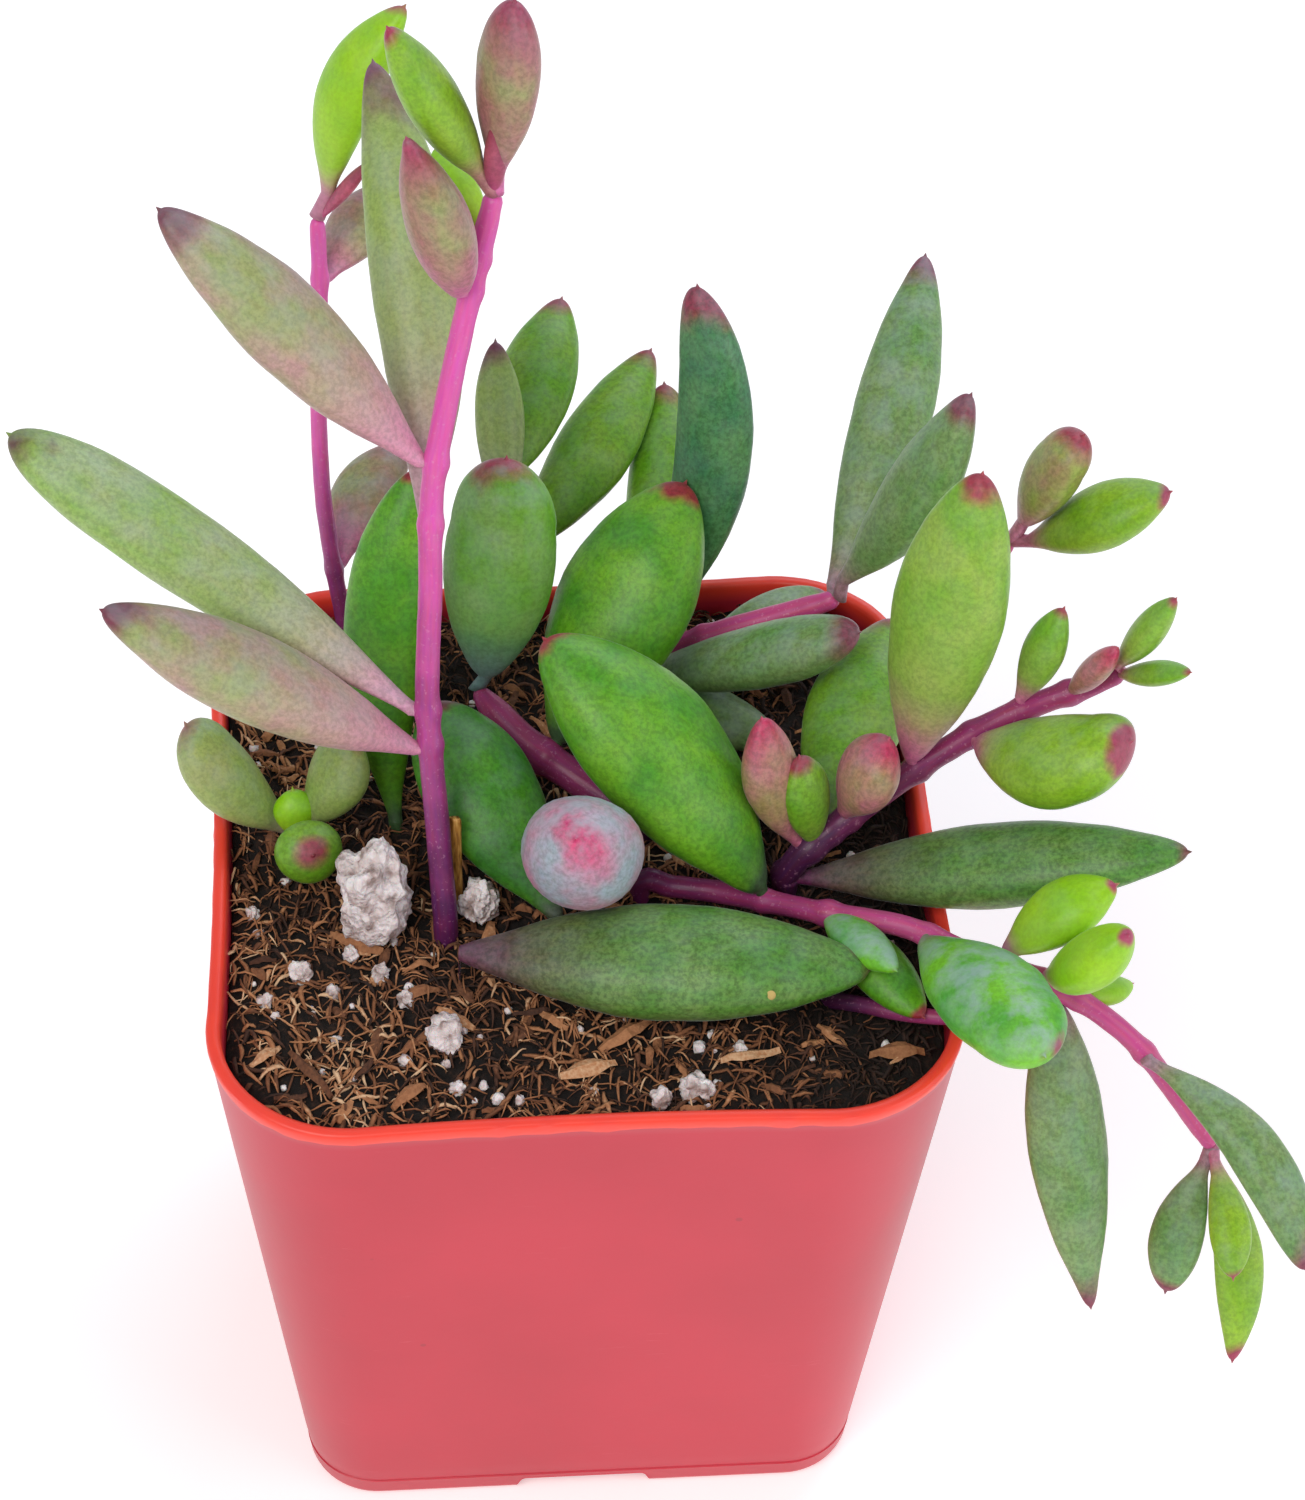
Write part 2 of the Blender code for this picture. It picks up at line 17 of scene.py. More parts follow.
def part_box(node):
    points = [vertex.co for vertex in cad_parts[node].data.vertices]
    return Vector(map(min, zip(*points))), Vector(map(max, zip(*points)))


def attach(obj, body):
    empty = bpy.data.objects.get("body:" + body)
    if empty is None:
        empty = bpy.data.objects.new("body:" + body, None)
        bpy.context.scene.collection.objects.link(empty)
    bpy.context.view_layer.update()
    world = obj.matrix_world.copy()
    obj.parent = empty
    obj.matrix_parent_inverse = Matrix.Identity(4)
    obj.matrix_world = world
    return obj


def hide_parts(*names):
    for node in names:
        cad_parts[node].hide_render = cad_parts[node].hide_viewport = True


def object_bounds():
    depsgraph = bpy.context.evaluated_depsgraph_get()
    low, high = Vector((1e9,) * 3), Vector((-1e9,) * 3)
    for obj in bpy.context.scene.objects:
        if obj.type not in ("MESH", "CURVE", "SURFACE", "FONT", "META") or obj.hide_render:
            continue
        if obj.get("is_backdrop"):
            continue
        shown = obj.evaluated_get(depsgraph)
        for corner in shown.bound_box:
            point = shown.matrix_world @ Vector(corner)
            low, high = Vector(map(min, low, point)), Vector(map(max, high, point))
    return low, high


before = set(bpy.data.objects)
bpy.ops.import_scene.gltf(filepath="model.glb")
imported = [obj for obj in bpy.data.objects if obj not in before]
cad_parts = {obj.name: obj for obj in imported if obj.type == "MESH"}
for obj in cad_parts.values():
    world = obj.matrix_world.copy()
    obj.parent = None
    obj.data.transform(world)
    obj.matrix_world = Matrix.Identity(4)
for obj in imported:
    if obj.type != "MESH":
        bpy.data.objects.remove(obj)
cad_low, cad_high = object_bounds()
MM = 0.001
print("nodes", len(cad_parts), "box in mm", [round(v / MM, 1) for v in (*cad_low, *cad_high)])

# %% [markdown]
# ## Small helpers
# Paint colours are written as sRGB hex values, which is how a colour card gives them, while
# shaders work in linear light. A node tree is a list of nodes with settings and links, so one
# function that adds a node with both keeps each material readable from top to bottom. Every
# piece is a mesh that rides on the one body and carries its own material.

# %% Colour, node and piece helpers


def linear(code):
    """A hex colour such as #A0B0C0 as linear red, green, blue and alpha."""
    shares = [int(code[i:i + 2], 16) / 255 for i in (1, 3, 5)]
    return (*[s / 12.92 if s <= 0.04045 else ((s + 0.055) / 1.055) ** 2.4 for s in shares], 1.0)


def add(tree, kind, settings=None, links=None):
    """Add a node; links gives its sockets by name or number, each a value or another socket."""
    made = tree.nodes.new("ShaderNode" + kind)
    for name, value in (settings or {}).items():
        setattr(made, name, value)
    for socket, value in (links or {}).items():
        target = made.inputs[socket]
        if isinstance(value, bpy.types.NodeSocket):
            tree.links.new(value, target)
        else:
            target.default_value = value
    return made


def ramp(tree, fac, stops, easing="LINEAR"):
    """A colour ramp through (place, hex colour) stops, driven by a socket."""
    made = add(tree, "ValToRGB", links={"Fac": fac})
    made.color_ramp.interpolation = easing
    points = made.color_ramp.elements
    while len(points) < len(stops):
        points.new(0.5)
    for point, (place, code) in zip(points, sorted(stops)):
        point.position = place
        point.color = linear(code)
    return made.outputs["Color"]


def new_material(name):
    """An empty material with its shader, and the object coordinates, which are metres here."""
    made = bpy.data.materials.new(name)
    made.use_nodes = True
    tree = made.node_tree
    return made, tree, tree.nodes["Principled BSDF"], add(tree, "TexCoord").outputs["Object"]


def piece(name, points, faces, material, smooth=True, stands_for=()):
    """A mesh from points in metres that rides on the body and may stand for CAD nodes."""
    mesh = bpy.data.meshes.new(name)
    mesh.from_pydata([tuple(p) for p in points], [], faces)
    mesh.validate()
    mesh.update()
    if smooth:
        mesh.shade_smooth()
    mesh.materials.append(material)
    made = bpy.data.objects.new(name, mesh)
    bpy.context.scene.collection.objects.link(made)
    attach(made, "root")
    if stands_for:
        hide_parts(*stands_for)
    return made


def give(made, name, values, kind="FLOAT"):
    """Store one number or one vector for each point of a piece, for its material to read."""
    field = made.data.attributes.new(name, kind, "POINT")
    field.data.foreach_set("value" if kind == "FLOAT" else "vector",
                           np.asarray(values, np.float32).ravel())


def tube_faces(rings, sides, close_start=True, close_end=True):
    """Quads between rings of the same number of points, with capped ends."""
    faces = []
    for ring in range(rings - 1):
        for i in range(sides):
            j = (i + 1) % sides
            low, high = ring * sides, (ring + 1) * sides
            faces.append((low + i, low + j, high + j, high + i))
    if close_start:
        faces.append(tuple(range(sides - 1, -1, -1)))
    if close_end:
        faces.append(tuple(range((rings - 1) * sides, rings * sides)))
    return faces


# %% [markdown]
# ## The camera
# The camera looks down on the pot at about 47 degrees, a little from the left, with a slight
# tilt of the horizon. The distance, 325 mm, sets how much larger the near leaves look.

# %% Camera
AZIMUTH = math.radians(-5.5)
ELEVATION = math.radians(46.9)
ROLL = math.radians(2.1)
AIM = Vector((6.5, 0.0, 74.3)) * MM
DISTANCE = 325 * MM
SENSOR_WIDTH = 36
FOCAL_LENGTH = 91.7

backward = Vector((math.sin(AZIMUTH) * math.cos(ELEVATION),
                   -math.cos(AZIMUTH) * math.cos(ELEVATION), math.sin(ELEVATION)))
level = Vector((0, 0, 1)).cross(backward).normalized()
upright = backward.cross(level)
camera_data = bpy.data.cameras.new("camera")
camera = bpy.data.objects.new("camera", camera_data)
bpy.context.scene.collection.objects.link(camera)
columns = (level * math.cos(ROLL) + upright * math.sin(ROLL),
           upright * math.cos(ROLL) - level * math.sin(ROLL), backward)
camera.rotation_mode = "QUATERNION"
camera.rotation_quaternion = Matrix(columns).transposed().to_quaternion()
camera.location = AIM + backward * DISTANCE
camera_data.sensor_width = SENSOR_WIDTH
camera_data.lens = FOCAL_LENGTH
camera_data.clip_start = 0.01
bpy.context.scene.camera = camera
print("camera at", [round(v / MM) for v in camera.location], "mm")

# %% [markdown]
# ## The floor and the light
# The object stands on a plain white sweep under soft light: a bright even sky, one large panel
# high on the left in front, a weaker one behind that gives the leaves their pale edges, and the
# weakest on the right. The sweep glows a little, so that the shadows on it stay pale.

# %% Studio
SKY_STRENGTH = 0.46
SWEEP_GLOW = 0.30
SWEEP_HALF = 3.0
PLANT_MIDDLE = Vector((0.005, 0, 0.06))
scene = bpy.context.scene
scene.view_settings.view_transform = "Standard"  # colours stay as strong as they are painted
world = bpy.data.worlds.new("studio")
scene.world = world
world.use_nodes = True
world.node_tree.nodes["Background"].inputs["Color"].default_value = linear("#F4F7FF")
world.node_tree.nodes["Background"].inputs["Strength"].default_value = SKY_STRENGTH


def panel(name, place, size, power, colour):
    """A square light panel that faces the middle of the plant."""
    data = bpy.data.lights.new(name, "AREA")
    data.shape = "SQUARE"
    data.size = size
    data.energy = power
    data.color = linear(colour)[:3]
    lamp = bpy.data.objects.new(name, data)
    lamp.location = Vector(place)
    lamp.rotation_mode = "QUATERNION"
    lamp.rotation_quaternion = (lamp.location - PLANT_MIDDLE).to_track_quat("Z", "Y")
    bpy.context.scene.collection.objects.link(lamp)


panel("key_panel", (-0.30, -0.45, 0.70), 0.45, 3.3, "#FFF8F2")
panel("rear_panel", (0.30, 0.55, 0.55), 0.50, 1.9, "#EAF2FF")
panel("side_panel", (0.55, -0.30, 0.30), 0.40, 1.2, "#FFF4F4")

floor_paint, tree, shader, place = new_material("white_sweep")
shader.inputs["Base Color"].default_value = linear("#FAFAFA")
shader.inputs["Roughness"].default_value = 0.9
shader.inputs["Emission Color"].default_value = linear("#FFFFFF")
shader.inputs["Emission Strength"].default_value = SWEEP_GLOW
floor = bpy.data.objects.new("floor", bpy.data.meshes.new("floor"))
corners = [(x * SWEEP_HALF, y * SWEEP_HALF, 0) for x, y in ((-1, -1), (1, -1), (1, 1), (-1, 1))]
floor.data.from_pydata(corners, [], [(0, 1, 2, 3)])
floor.data.materials.append(floor_paint)
floor.location.z = cad_low.z - 0.02 * MM
bpy.context.scene.collection.objects.link(floor)
floor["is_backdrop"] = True

# %% [markdown]
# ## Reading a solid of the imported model
# A leaf solid is rings of eight points between two end points, and a stem solid is rings of
# eight points from its buried end to its tip. Stepping along the mesh edges from one end gives
# the rings in order, and each ring gives its centre and its size. The finished leaf is then
# drawn through the same places.

# %% Rings of a CAD solid


def welded(name):
    """The node's corners, merged where they coincide, and each corner's neighbours."""
    work = bmesh.new()
    work.from_mesh(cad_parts[name].data)
    bmesh.ops.remove_doubles(work, verts=work.verts, dist=0.002 * MM)
    work.verts.index_update()
    points = np.array([v.co for v in work.verts])
    near = [[e.other_vert(v).index for e in v.link_edges] for v in work.verts]
    work.free()
    return points, near


def rings_from(start, points, near):
    """Centre and corners of each ring of corners, counted by edge steps from the first."""
    group, seen, rings = set(start), set(start), []
    while group:
        corners = points[sorted(group)]
        rings.append((corners.mean(axis=0), corners))
        group = {j for i in group for j in near[i]} - seen
        seen |= group
    return rings


def stem_line(name):
    """Centre line of a stem solid from its buried end to its tip, and its radius."""
    points, near = welded(name)
    first = points[np.argmin(points[:, 2] + points[:, 0] / 2)]
    start = [i for i, p in enumerate(points)
             if abs(p[2] - first[2]) < 0.05 * MM and np.linalg.norm(p - first) < 4 * MM]
    rings = rings_from(start, points, near)
    radius = np.mean([np.linalg.norm(c - rings[0][0]) for c in rings[0][1]])
    return np.array([centre for centre, _ in rings]), radius


def through(values, at):
    """A smooth curve through evenly spaced values, read at shares from 0 to 1."""
    values = np.asarray(values, float)
    place = np.clip(np.asarray(at, float), 0, 1) * (len(values) - 1)
    index = np.minimum(place.astype(int), len(values) - 2)
    t = place - index
    if values.ndim > 1:
        t = t[:, None]
    padded = np.concatenate([[2 * values[0] - values[1]], values, [2 * values[-1] - values[-2]]])
    a, b, c, d = (padded[index + k] for k in range(4))
    return 0.5 * (2 * b + (c - a) * t + (2 * a - 5 * b + 4 * c - d) * t ** 2
                  + (3 * b - 3 * c + d - a) * t ** 3)


def even(line, spacing=0.5 * MM):
    """The same curve through points at equal distances along it."""
    fine = through(line, np.linspace(0, 1, 600))
    run = np.concatenate([[0], np.cumsum(np.linalg.norm(np.diff(fine, axis=0), axis=1))])
    at = np.linspace(0, run[-1], max(8, int(run[-1] / spacing)))
    return np.stack([np.interp(at, run, fine[:, k]) for k in range(3)], axis=1)


STEMS = [n for n in sorted(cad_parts) if n.endswith("_stem")]
LEAVES = [n for n in sorted(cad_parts) if "_leaf_" in n]
lines = {}
for name in STEMS:
    line, radius = stem_line(name)
    lines[name] = (even(line), radius)
    print(name, len(line), "rings, diameter", round(2 * radius / MM, 2), "mm")

# %% [markdown]
# ## The leaf as a form
# A leaf of this plant is a water store: a plump spindle, a little flatter above than below,
# which narrows to a pink foot on the stem and ends in a small hard point. It could be a scaled
# sphere, but then all would be alike. Here each leaf is lofted through the rings of its solid,
# with more rings near both ends, low bumps from noise, a neck that runs into the stem and a
# point of its own.

# %% Leaf shape
LEAF_SIDES = 32
LEAF_STEPS = 44
NECK_RADIUS = 0.62 * MM
POINT_LENGTH = 0.42 * MM
POINT_RADIUS = 0.22 * MM
BLUNT_FROM = 0.70  # share of the length where a blunt leaf begins to round off
BLUNT = {"thick_leaf_1", "rear_leaf_1", "rear_leaf_4", "right_leaf_2",
         "trailing_leaf_2", "tall_leaf_2", "side_leaf_1", "offset_leaf_1"}


def leaf_shape(name):
    """Base, tip, middle line, half widths and half thicknesses of a leaf solid."""
    points, near = welded(name)
    ends = [i for i in range(len(points)) if len(near[i]) >= 8]
    pairs = [(np.linalg.norm(points[i] - points[j]), i, j) for i in ends for j in ends if i < j]
    _, one, other = max(pairs)
    stem = name.split("_leaf_")[0] + "_stem"
    if stem in lines:
        line = through(lines[stem][0], np.linspace(0, 1, 200))
        far = [np.linalg.norm(line - points[i], axis=1).min() for i in (one, other)]
        base = one if far[0] < far[1] else other
    else:
        base = min((one, other), key=lambda i: points[i][2])
    rings = rings_from([base], points, near)
    middle = np.array([centre for centre, _ in rings])
    along = middle[-1] - middle[0]
    along /= np.linalg.norm(along)
    side = np.cross(along, (0, 0, 1))
    side /= np.linalg.norm(side)
    up = np.cross(side, along)
    width = [np.abs((ring - centre) @ side).max() for centre, ring in rings]
    thick = [np.abs((ring - centre) @ up).max() for centre, ring in rings]
    return middle, np.array(width), np.array(thick), side, up


def small_leaf_shape(base, heading, pitch, length, width, fullest=0.55, bend=0.0):
    """The same figures for a leaf too small to have a solid of its own."""
    heading, pitch = math.radians(heading), math.radians(pitch)
    flat = math.cos(pitch)
    along = np.array([flat * math.cos(heading), flat * math.sin(heading), math.sin(pitch)])
    side = np.cross(along, (0, 0, 1))
    side /= np.linalg.norm(side)
    up = np.cross(side, along)
    shares = np.linspace(0, 1, 10)
    rise = np.sin(np.pi / 2 * np.minimum(shares / fullest, 1)) ** 0.75
    fall = np.cos(np.pi / 2 * np.maximum((shares - fullest) / (1 - fullest), 0)) ** 0.6
    reach = rise * fall * width * MM / 2
    bow = up[None, :] * (4 * bend * length * MM * shares * (1 - shares))[:, None]
    middle = np.asarray(base) + along * (shares * length * MM)[:, None] + bow
    return middle, reach, reach * 0.72, side, up


def draw_leaf(name, shape, foot, material, stands_for=(), seed=0):
    """Loft a leaf through its shape, from a foot inside the stem to its hard point."""
    middle, width, thick, side, up = shape
    length = np.linalg.norm(middle[-1] - middle[0])
    shares = 0.5 - 0.5 * np.cos(np.pi * np.linspace(0, 1, LEAF_STEPS + 1))
    centres = through(middle, shares)
    halves = [np.sqrt(np.maximum(through(values ** 2, shares), 0)) for values in (width, thick)]
    if name in BLUNT:
        past = np.clip((shares - BLUNT_FROM) / (1 - BLUNT_FROM), 0, 1)
        dome = np.sqrt(1 - past ** 2)
        halves = [np.where(past > 0, np.maximum(half, dome * np.interp(BLUNT_FROM, shares, half)),
                           half) for half in halves]
    neck = NECK_RADIUS * min(1.0, width.max() / (2.4 * MM))
    near_base = np.exp(-shares * length / (1.6 * MM))
    to_tip = (1 - shares) * length
    point = POINT_RADIUS * min(1.0, width.max() / (2.4 * MM))
    near_tip = point * np.clip(1 - to_tip / (3 * POINT_LENGTH), 0, 1)
    halves = [np.hypot(half, neck * near_base) for half in halves]
    halves = [np.hypot(half, near_tip) for half in halves]
    tip_way = middle[-1] - through(middle, [0.93])[0]
    tip_way /= np.linalg.norm(tip_way)
    reaches = np.array([0.35, 0.7, 1.0]) * POINT_LENGTH
    extra = middle[-1] + tip_way * reaches[:, None]
    sizes = point * np.array([0.62, 0.32, 0.06])
    before = [np.asarray(foot) + (middle[0] - np.asarray(foot)) * t for t in (0.0, 0.5)]
    centres = np.concatenate([before, centres, extra])
    halves = [np.concatenate([[neck * 1.15, neck * 1.05], half, sizes]) for half in halves]
    reach = np.concatenate([[0, 0], shares, [1, 1, 1]])
    angles = np.arange(LEAF_SIDES) * 2 * np.pi / LEAF_SIDES
    points, grain, reached = [], [], []
    for k, centre in enumerate(centres):
        for angle in angles:
            flatten = 0.93 if math.sin(angle) > 0 else 1.05
            out = (side * (halves[0][k] * math.cos(angle))
                   + up * (halves[1][k] * flatten * math.sin(angle)))
            spot = Vector(centre + out) / (4.5 * MM) + Vector((seed, 0, 0))
            swell = 1 + 0.035 * noise.noise(spot) + 0.012 * noise.noise(spot * 3)
            points.append(centre + out * swell)
            grain.append((reach[k] * length / 5, out @ side, out @ up))
            reached.append(reach[k])
    faces = tube_faces(len(centres), LEAF_SIDES)
    made = piece(name + "_skin", points, faces, material, stands_for=stands_for)
    give(made, "reach", reached)
    give(made, "grain", grain, "FLOAT_VECTOR")
    return made


# %% [markdown]
# ## The leaf's skin
# The skin is a thin wax over green flesh. The foot is flushed pink or purple, the tip is a red
# brown, and between them the green is mottled at about a third of a millimetre. Where nothing
# has touched it, a pale blue bloom of wax lies in patches, dull rather than glossy. The pale blue
# is painted only where the skin faces up, strongest where it faces the sky: partly real wax and
# partly a painted sky sheen. The colours change along the leaf, so the shader reads how far from
# the foot each point lies.

# %% Leaf skins
SKINS = {
    # name: flesh, second flesh, foot, tip, foot's reach, tip's reach, wax and painted sheen, mottle
    "rose_olive": ("#A2B070", "#BE9A92", "#E094B6", "#7A3044", 0.46, 0.10, 0.26, 0.35),
    "dusky_rose": ("#B07674", "#9DA86A", "#E078B0", "#A83C5C", 0.42, 0.22, 0.30, 0.40),
    "long_sage": ("#8FBA44", "#A6BC80", "#DCA4C0", "#6A4438", 0.40, 0.06, 0.22, 0.40),
    "pale_olive": ("#98B458", "#9AAE70", "#C894B0", "#7C4258", 0.40, 0.12, 0.16, 0.35),
    "leaf_green": ("#7CB418", "#98C430", "#C0708C", "#A83C58", 0.24, 0.05, 0.14, 0.35),
    "lime": ("#8CCC0C", "#A4D820", "#C4809C", "#B03C60", 0.18, 0.035, 0.08, 0.18),
    "deep_green": ("#37851E", "#5AA32A", "#54604A", "#7C3038", 0.12, 0.05, 0.14, 0.50),
    "big_green": ("#4E9C18", "#74B424", "#3E5C38", "#A0343C", 0.12, 0.04, 0.06, 0.45),
    "crown_green": ("#6CAC20", "#86B434", "#7A5A60", "#A03C4C", 0.10, 0.09, 0.14, 0.45),
    "blunt_green": ("#6DB022", "#86B45A", "#7A9A9C", "#A8485C", 0.30, 0.08, 0.34, 0.35),
    "sea_green": ("#2F7A4C", "#5A9656", "#A85C82", "#9C3450", 0.20, 0.07, 0.26, 0.60),
    "grey_sage": ("#6C9C50", "#86A466", "#A87C8C", "#8A3C50", 0.16, 0.09, 0.30, 0.50),
    "pale_sage": ("#93B054", "#A4B068", "#8C7C78", "#A06058", 0.22, 0.06, 0.28, 0.35),
    "purple_foot": ("#569430", "#74A050", "#6E2C58", "#7A3240", 0.42, 0.04, 0.10, 0.65),
    "blush_green": ("#7CB828", "#9CC04C", "#E07CAC", "#A83A4C", 0.30, 0.07, 0.14, 0.35),
    "rosy_green": ("#9CBC48", "#B08C70", "#D888A8", "#A83A4C", 0.30, 0.12, 0.26, 0.40),
    "frosted": ("#A8B8C4", "#CC88A4", "#98B08C", "#D8447C", 0.30, 0.05, 0.62, 0.40),
    "jade_bloom": ("#7ACA28", "#56AE44", "#7E8C6A", "#9C4458", 0.15, 0.03, 0.62, 0.30),
    "rosy_small": ("#A8985C", "#C87C88", "#C86C8C", "#C83C64", 0.20, 0.22, 0.22, 0.45),
    "pink_bud": ("#C86078", "#A8506C", "#D05C94", "#8C2C48", 0.30, 0.30, 0.15, 0.30),
}


def leaf_skin(name, flesh, second, foot, tip, foot_reach, tip_reach, bloom_and_sheen, mottle):
    """Waxed living skin: soft gloss, mottled green, flushed ends, pale bloom and painted sky sheen.
    """
    made, tree, shader, place = new_material("leaf_skin_" + name)
    reach = add(tree, "Attribute", {"attribute_name": "reach"}).outputs["Fac"]
    grain = add(tree, "Attribute", {"attribute_name": "grain"}).outputs["Vector"]
    cloud = add(tree, "TexNoise", links={"Vector": place, "Scale": 1 / (4.5 * MM), "Detail": 3.0})
    fine = add(tree, "TexNoise", links={"Vector": place, "Scale": 1 / (0.42 * MM), "Detail": 4.0,
                                        "Roughness": 0.65})
    streak = add(tree, "TexNoise", links={"Vector": grain, "Scale": 1 / (0.5 * MM), "Detail": 3.0})
    # The ends' colours creep into the green unevenly.
    shift = add(tree, "Math", {"operation": "MULTIPLY_ADD"},
                {0: cloud.outputs["Fac"], 1: 0.22, 2: reach})
    uneven = add(tree, "Math", {"operation": "SUBTRACT"}, {0: shift.outputs[0], 1: 0.11})
    two = add(tree, "Mix", {"data_type": "RGBA"},
              {"Factor": ramp(tree, cloud.outputs["Fac"], [(0.34, "#000000"), (0.66, "#FFFFFF")]),
               6: linear(flesh), 7: linear(second)})
    foot_mix = ramp(tree, uneven.outputs[0],
                    [(0.02, "#FFFFFF"), (foot_reach * 0.45, "#C8C8C8"), (foot_reach, "#000000")],
                    "B_SPLINE")
    tip_mix = ramp(tree, uneven.outputs[0],
                   [(1 - 1.3 * tip_reach, "#000000"), (1 - 0.25 * tip_reach, "#FFFFFF")])
    footed = add(tree, "Mix", {"data_type": "RGBA"},
                 {"Factor": foot_mix, 6: two.outputs[2], 7: linear(foot)})
    tipped = add(tree, "Mix", {"data_type": "RGBA"},
                 {"Factor": tip_mix, 6: footed.outputs[2], 7: linear(tip)})
    mottled = add(tree, "Math", {"operation": "MULTIPLY"},
                  {0: ramp(tree, fine.outputs["Fac"], [(0.38, "#FFFFFF"), (0.60, "#000000")]),
                   1: mottle})
    dark = add(tree, "Mix", {"data_type": "RGBA", "blend_type": "MULTIPLY"},
               {"Factor": mottled.outputs[0], 6: tipped.outputs[2], 7: linear("#8E9684")})
    streaked = add(tree, "Mix", {"data_type": "RGBA", "blend_type": "SOFT_LIGHT"},
                   {"Factor": 0.35 * mottle, 6: dark.outputs[2], 7: streak.outputs["Color"]})
    # Bloom lies in patches, painted only on what faces the sky: wax with a painted sky sheen.
    normal = add(tree, "NewGeometry").outputs["Normal"]
    facing = add(tree, "SeparateXYZ", links={0: normal}).outputs["Z"]
    patch = add(tree, "TexNoise", links={"Vector": place, "Scale": 1 / (2.6 * MM), "Detail": 5.0,
                                         "Roughness": 0.6})
    # The more the skin faces up, the paler it is painted: a painted sky sheen.
    sky_facing_sheen = add(tree, "MapRange", links={"Value": facing, "From Min": 0.05, "From Max": 1.0})
    worn = ramp(tree, patch.outputs["Fac"], [(0.40, "#101010"), (0.62, "#FFFFFF")])
    bloom_patches_and_sky_sheen = add(tree, "Math", {"operation": "MULTIPLY"}, {0: sky_facing_sheen.outputs[0], 1: worn})
    bloom_and_sky_sheen = add(tree, "Math", {"operation": "MULTIPLY"}, {0: bloom_patches_and_sky_sheen.outputs[0], 1: bloom_and_sheen})
    skin = add(tree, "Mix", {"data_type": "RGBA"},
               {"Factor": bloom_and_sky_sheen.outputs[0], 6: streaked.outputs[2], 7: linear("#A9BCC6")})
    tree.links.new(skin.outputs[2], shader.inputs["Base Color"])
    dull = add(tree, "Math", {"operation": "MULTIPLY_ADD"}, {0: bloom_and_sky_sheen.outputs[0], 1: 0.30, 2: 0.40})
    tree.links.new(dull.outputs[0], shader.inputs["Roughness"])
    pores = add(tree, "TexNoise", links={"Vector": place, "Scale": 1 / (0.22 * MM), "Detail": 2.0})
    rough = add(tree, "Math", {"operation": "ADD"},
                {0: pores.outputs["Fac"], 1: streak.outputs["Fac"]})
    relief = add(tree, "Bump", links={"Strength": 0.35, "Distance": 0.05 * MM,
                                      "Height": rough.outputs[0]})
    tree.links.new(relief.outputs["Normal"], shader.inputs["Normal"])
    shader.inputs["IOR"].default_value = 1.42
    shader.inputs["Subsurface Weight"].default_value = 0.12
    shader.inputs["Subsurface Radius"].default_value = (0.6, 1.0, 0.3)
    shader.inputs["Subsurface Scale"].default_value = 1.2 * MM
    shader.inputs["Sheen Weight"].default_value = 0.22
    shader.inputs["Sheen Roughness"].default_value = 0.18
    shader.inputs["Sheen Tint"].default_value = linear("#DCE8F4")
    return made


skins = {name: leaf_skin(name, *figures) for name, figures in SKINS.items()}
print("leaf skins", len(skins))

# %% [markdown]
# ## The leaves
# Each leaf solid gets a listed skin: the youngest at the shoot tips are lime, the old ones by
# the soil dark with a purple foot, and those in full sun rosy.

# %% Draw the leaves
WEARS = {
    "rose_olive": "tall_leaf_1 tall_leaf_3",
    "dusky_rose": "tall_leaf_5 tall_leaf_7 slender_leaf_2 slender_leaf_3",
    "long_sage": "tall_leaf_2",
    "pale_olive": "tall_leaf_4",
    "leaf_green": "tall_leaf_6 side_leaf_2 right_leaf_2 trailing_leaf_8 trailing_leaf_9",
    "lime": "slender_leaf_1 trailing_leaf_3 trailing_leaf_4",
    "deep_green": "ground_leaf_2",
    "big_green": "thick_leaf_2 trailing_leaf_1 ground_leaf_1",
    "crown_green": "crown_leaf_1 crown_leaf_2 rear_leaf_2 offset_leaf_3 right_leaf_7",
    "sea_green": "rear_leaf_1",
    "blunt_green": "thick_leaf_1",
    "grey_sage": "rear_leaf_3 rear_leaf_4 rear_leaf_5 rear_leaf_6 trailing_leaf_5"
                 " trailing_leaf_6 trailing_leaf_7",
    "pale_sage": "offset_leaf_1 offset_leaf_2",
    "rosy_green": "side_leaf_1",
    "purple_foot": "ground_leaf_3 right_leaf_8",
    "blush_green": "right_leaf_1 right_leaf_3 right_leaf_4",
    "frosted": "ground_leaf_4",
    "jade_bloom": "trailing_leaf_2",
    "rosy_small": "right_leaf_5 right_leaf_6",
}
worn_by = {leaf: skin for skin, row in WEARS.items() for leaf in row.split()}
shapes = {name: leaf_shape(name) for name in LEAVES}
joins = {name: [] for name in STEMS}


def foot_on(stem, base):
    """The point of a stem's centre line that is nearest to a leaf's base."""
    line = through(lines[stem][0], np.linspace(0, 1, 400))
    found = int(np.linalg.norm(line - base, axis=1).argmin())
    joins[stem].append(found / 399)
    return line[found]


ROUND = {"ground_leaf_4": 0.94, "offset_leaf_3": 0.94}
for number, name in enumerate(LEAVES):
    skin = worn_by.get(name, "leaf_green")
    stem = name.split("_leaf_")[0] + "_stem"
    shape = shapes[name]
    if name in ROUND:
        shape = (*shape[:2], shape[1] * ROUND[name], *shape[3:])
    foot = foot_on(stem, shape[0][0]) if stem in lines else shape[0][0] - np.array([0, 0, 2.5 * MM])
    draw_leaf(name, shape, foot, skins[skin], (name,), number)
print("leaves drawn", len(LEAVES))
print("without a skin of their own", sorted(set(LEAVES) - set(worn_by)))

# %% [markdown]
# ## A scar
# One leaf over the soil has an old dry nick, a thin beige scab just proud of the skin. It is a
# small lens laid on the leaf, on the side that faces forward and a little up.

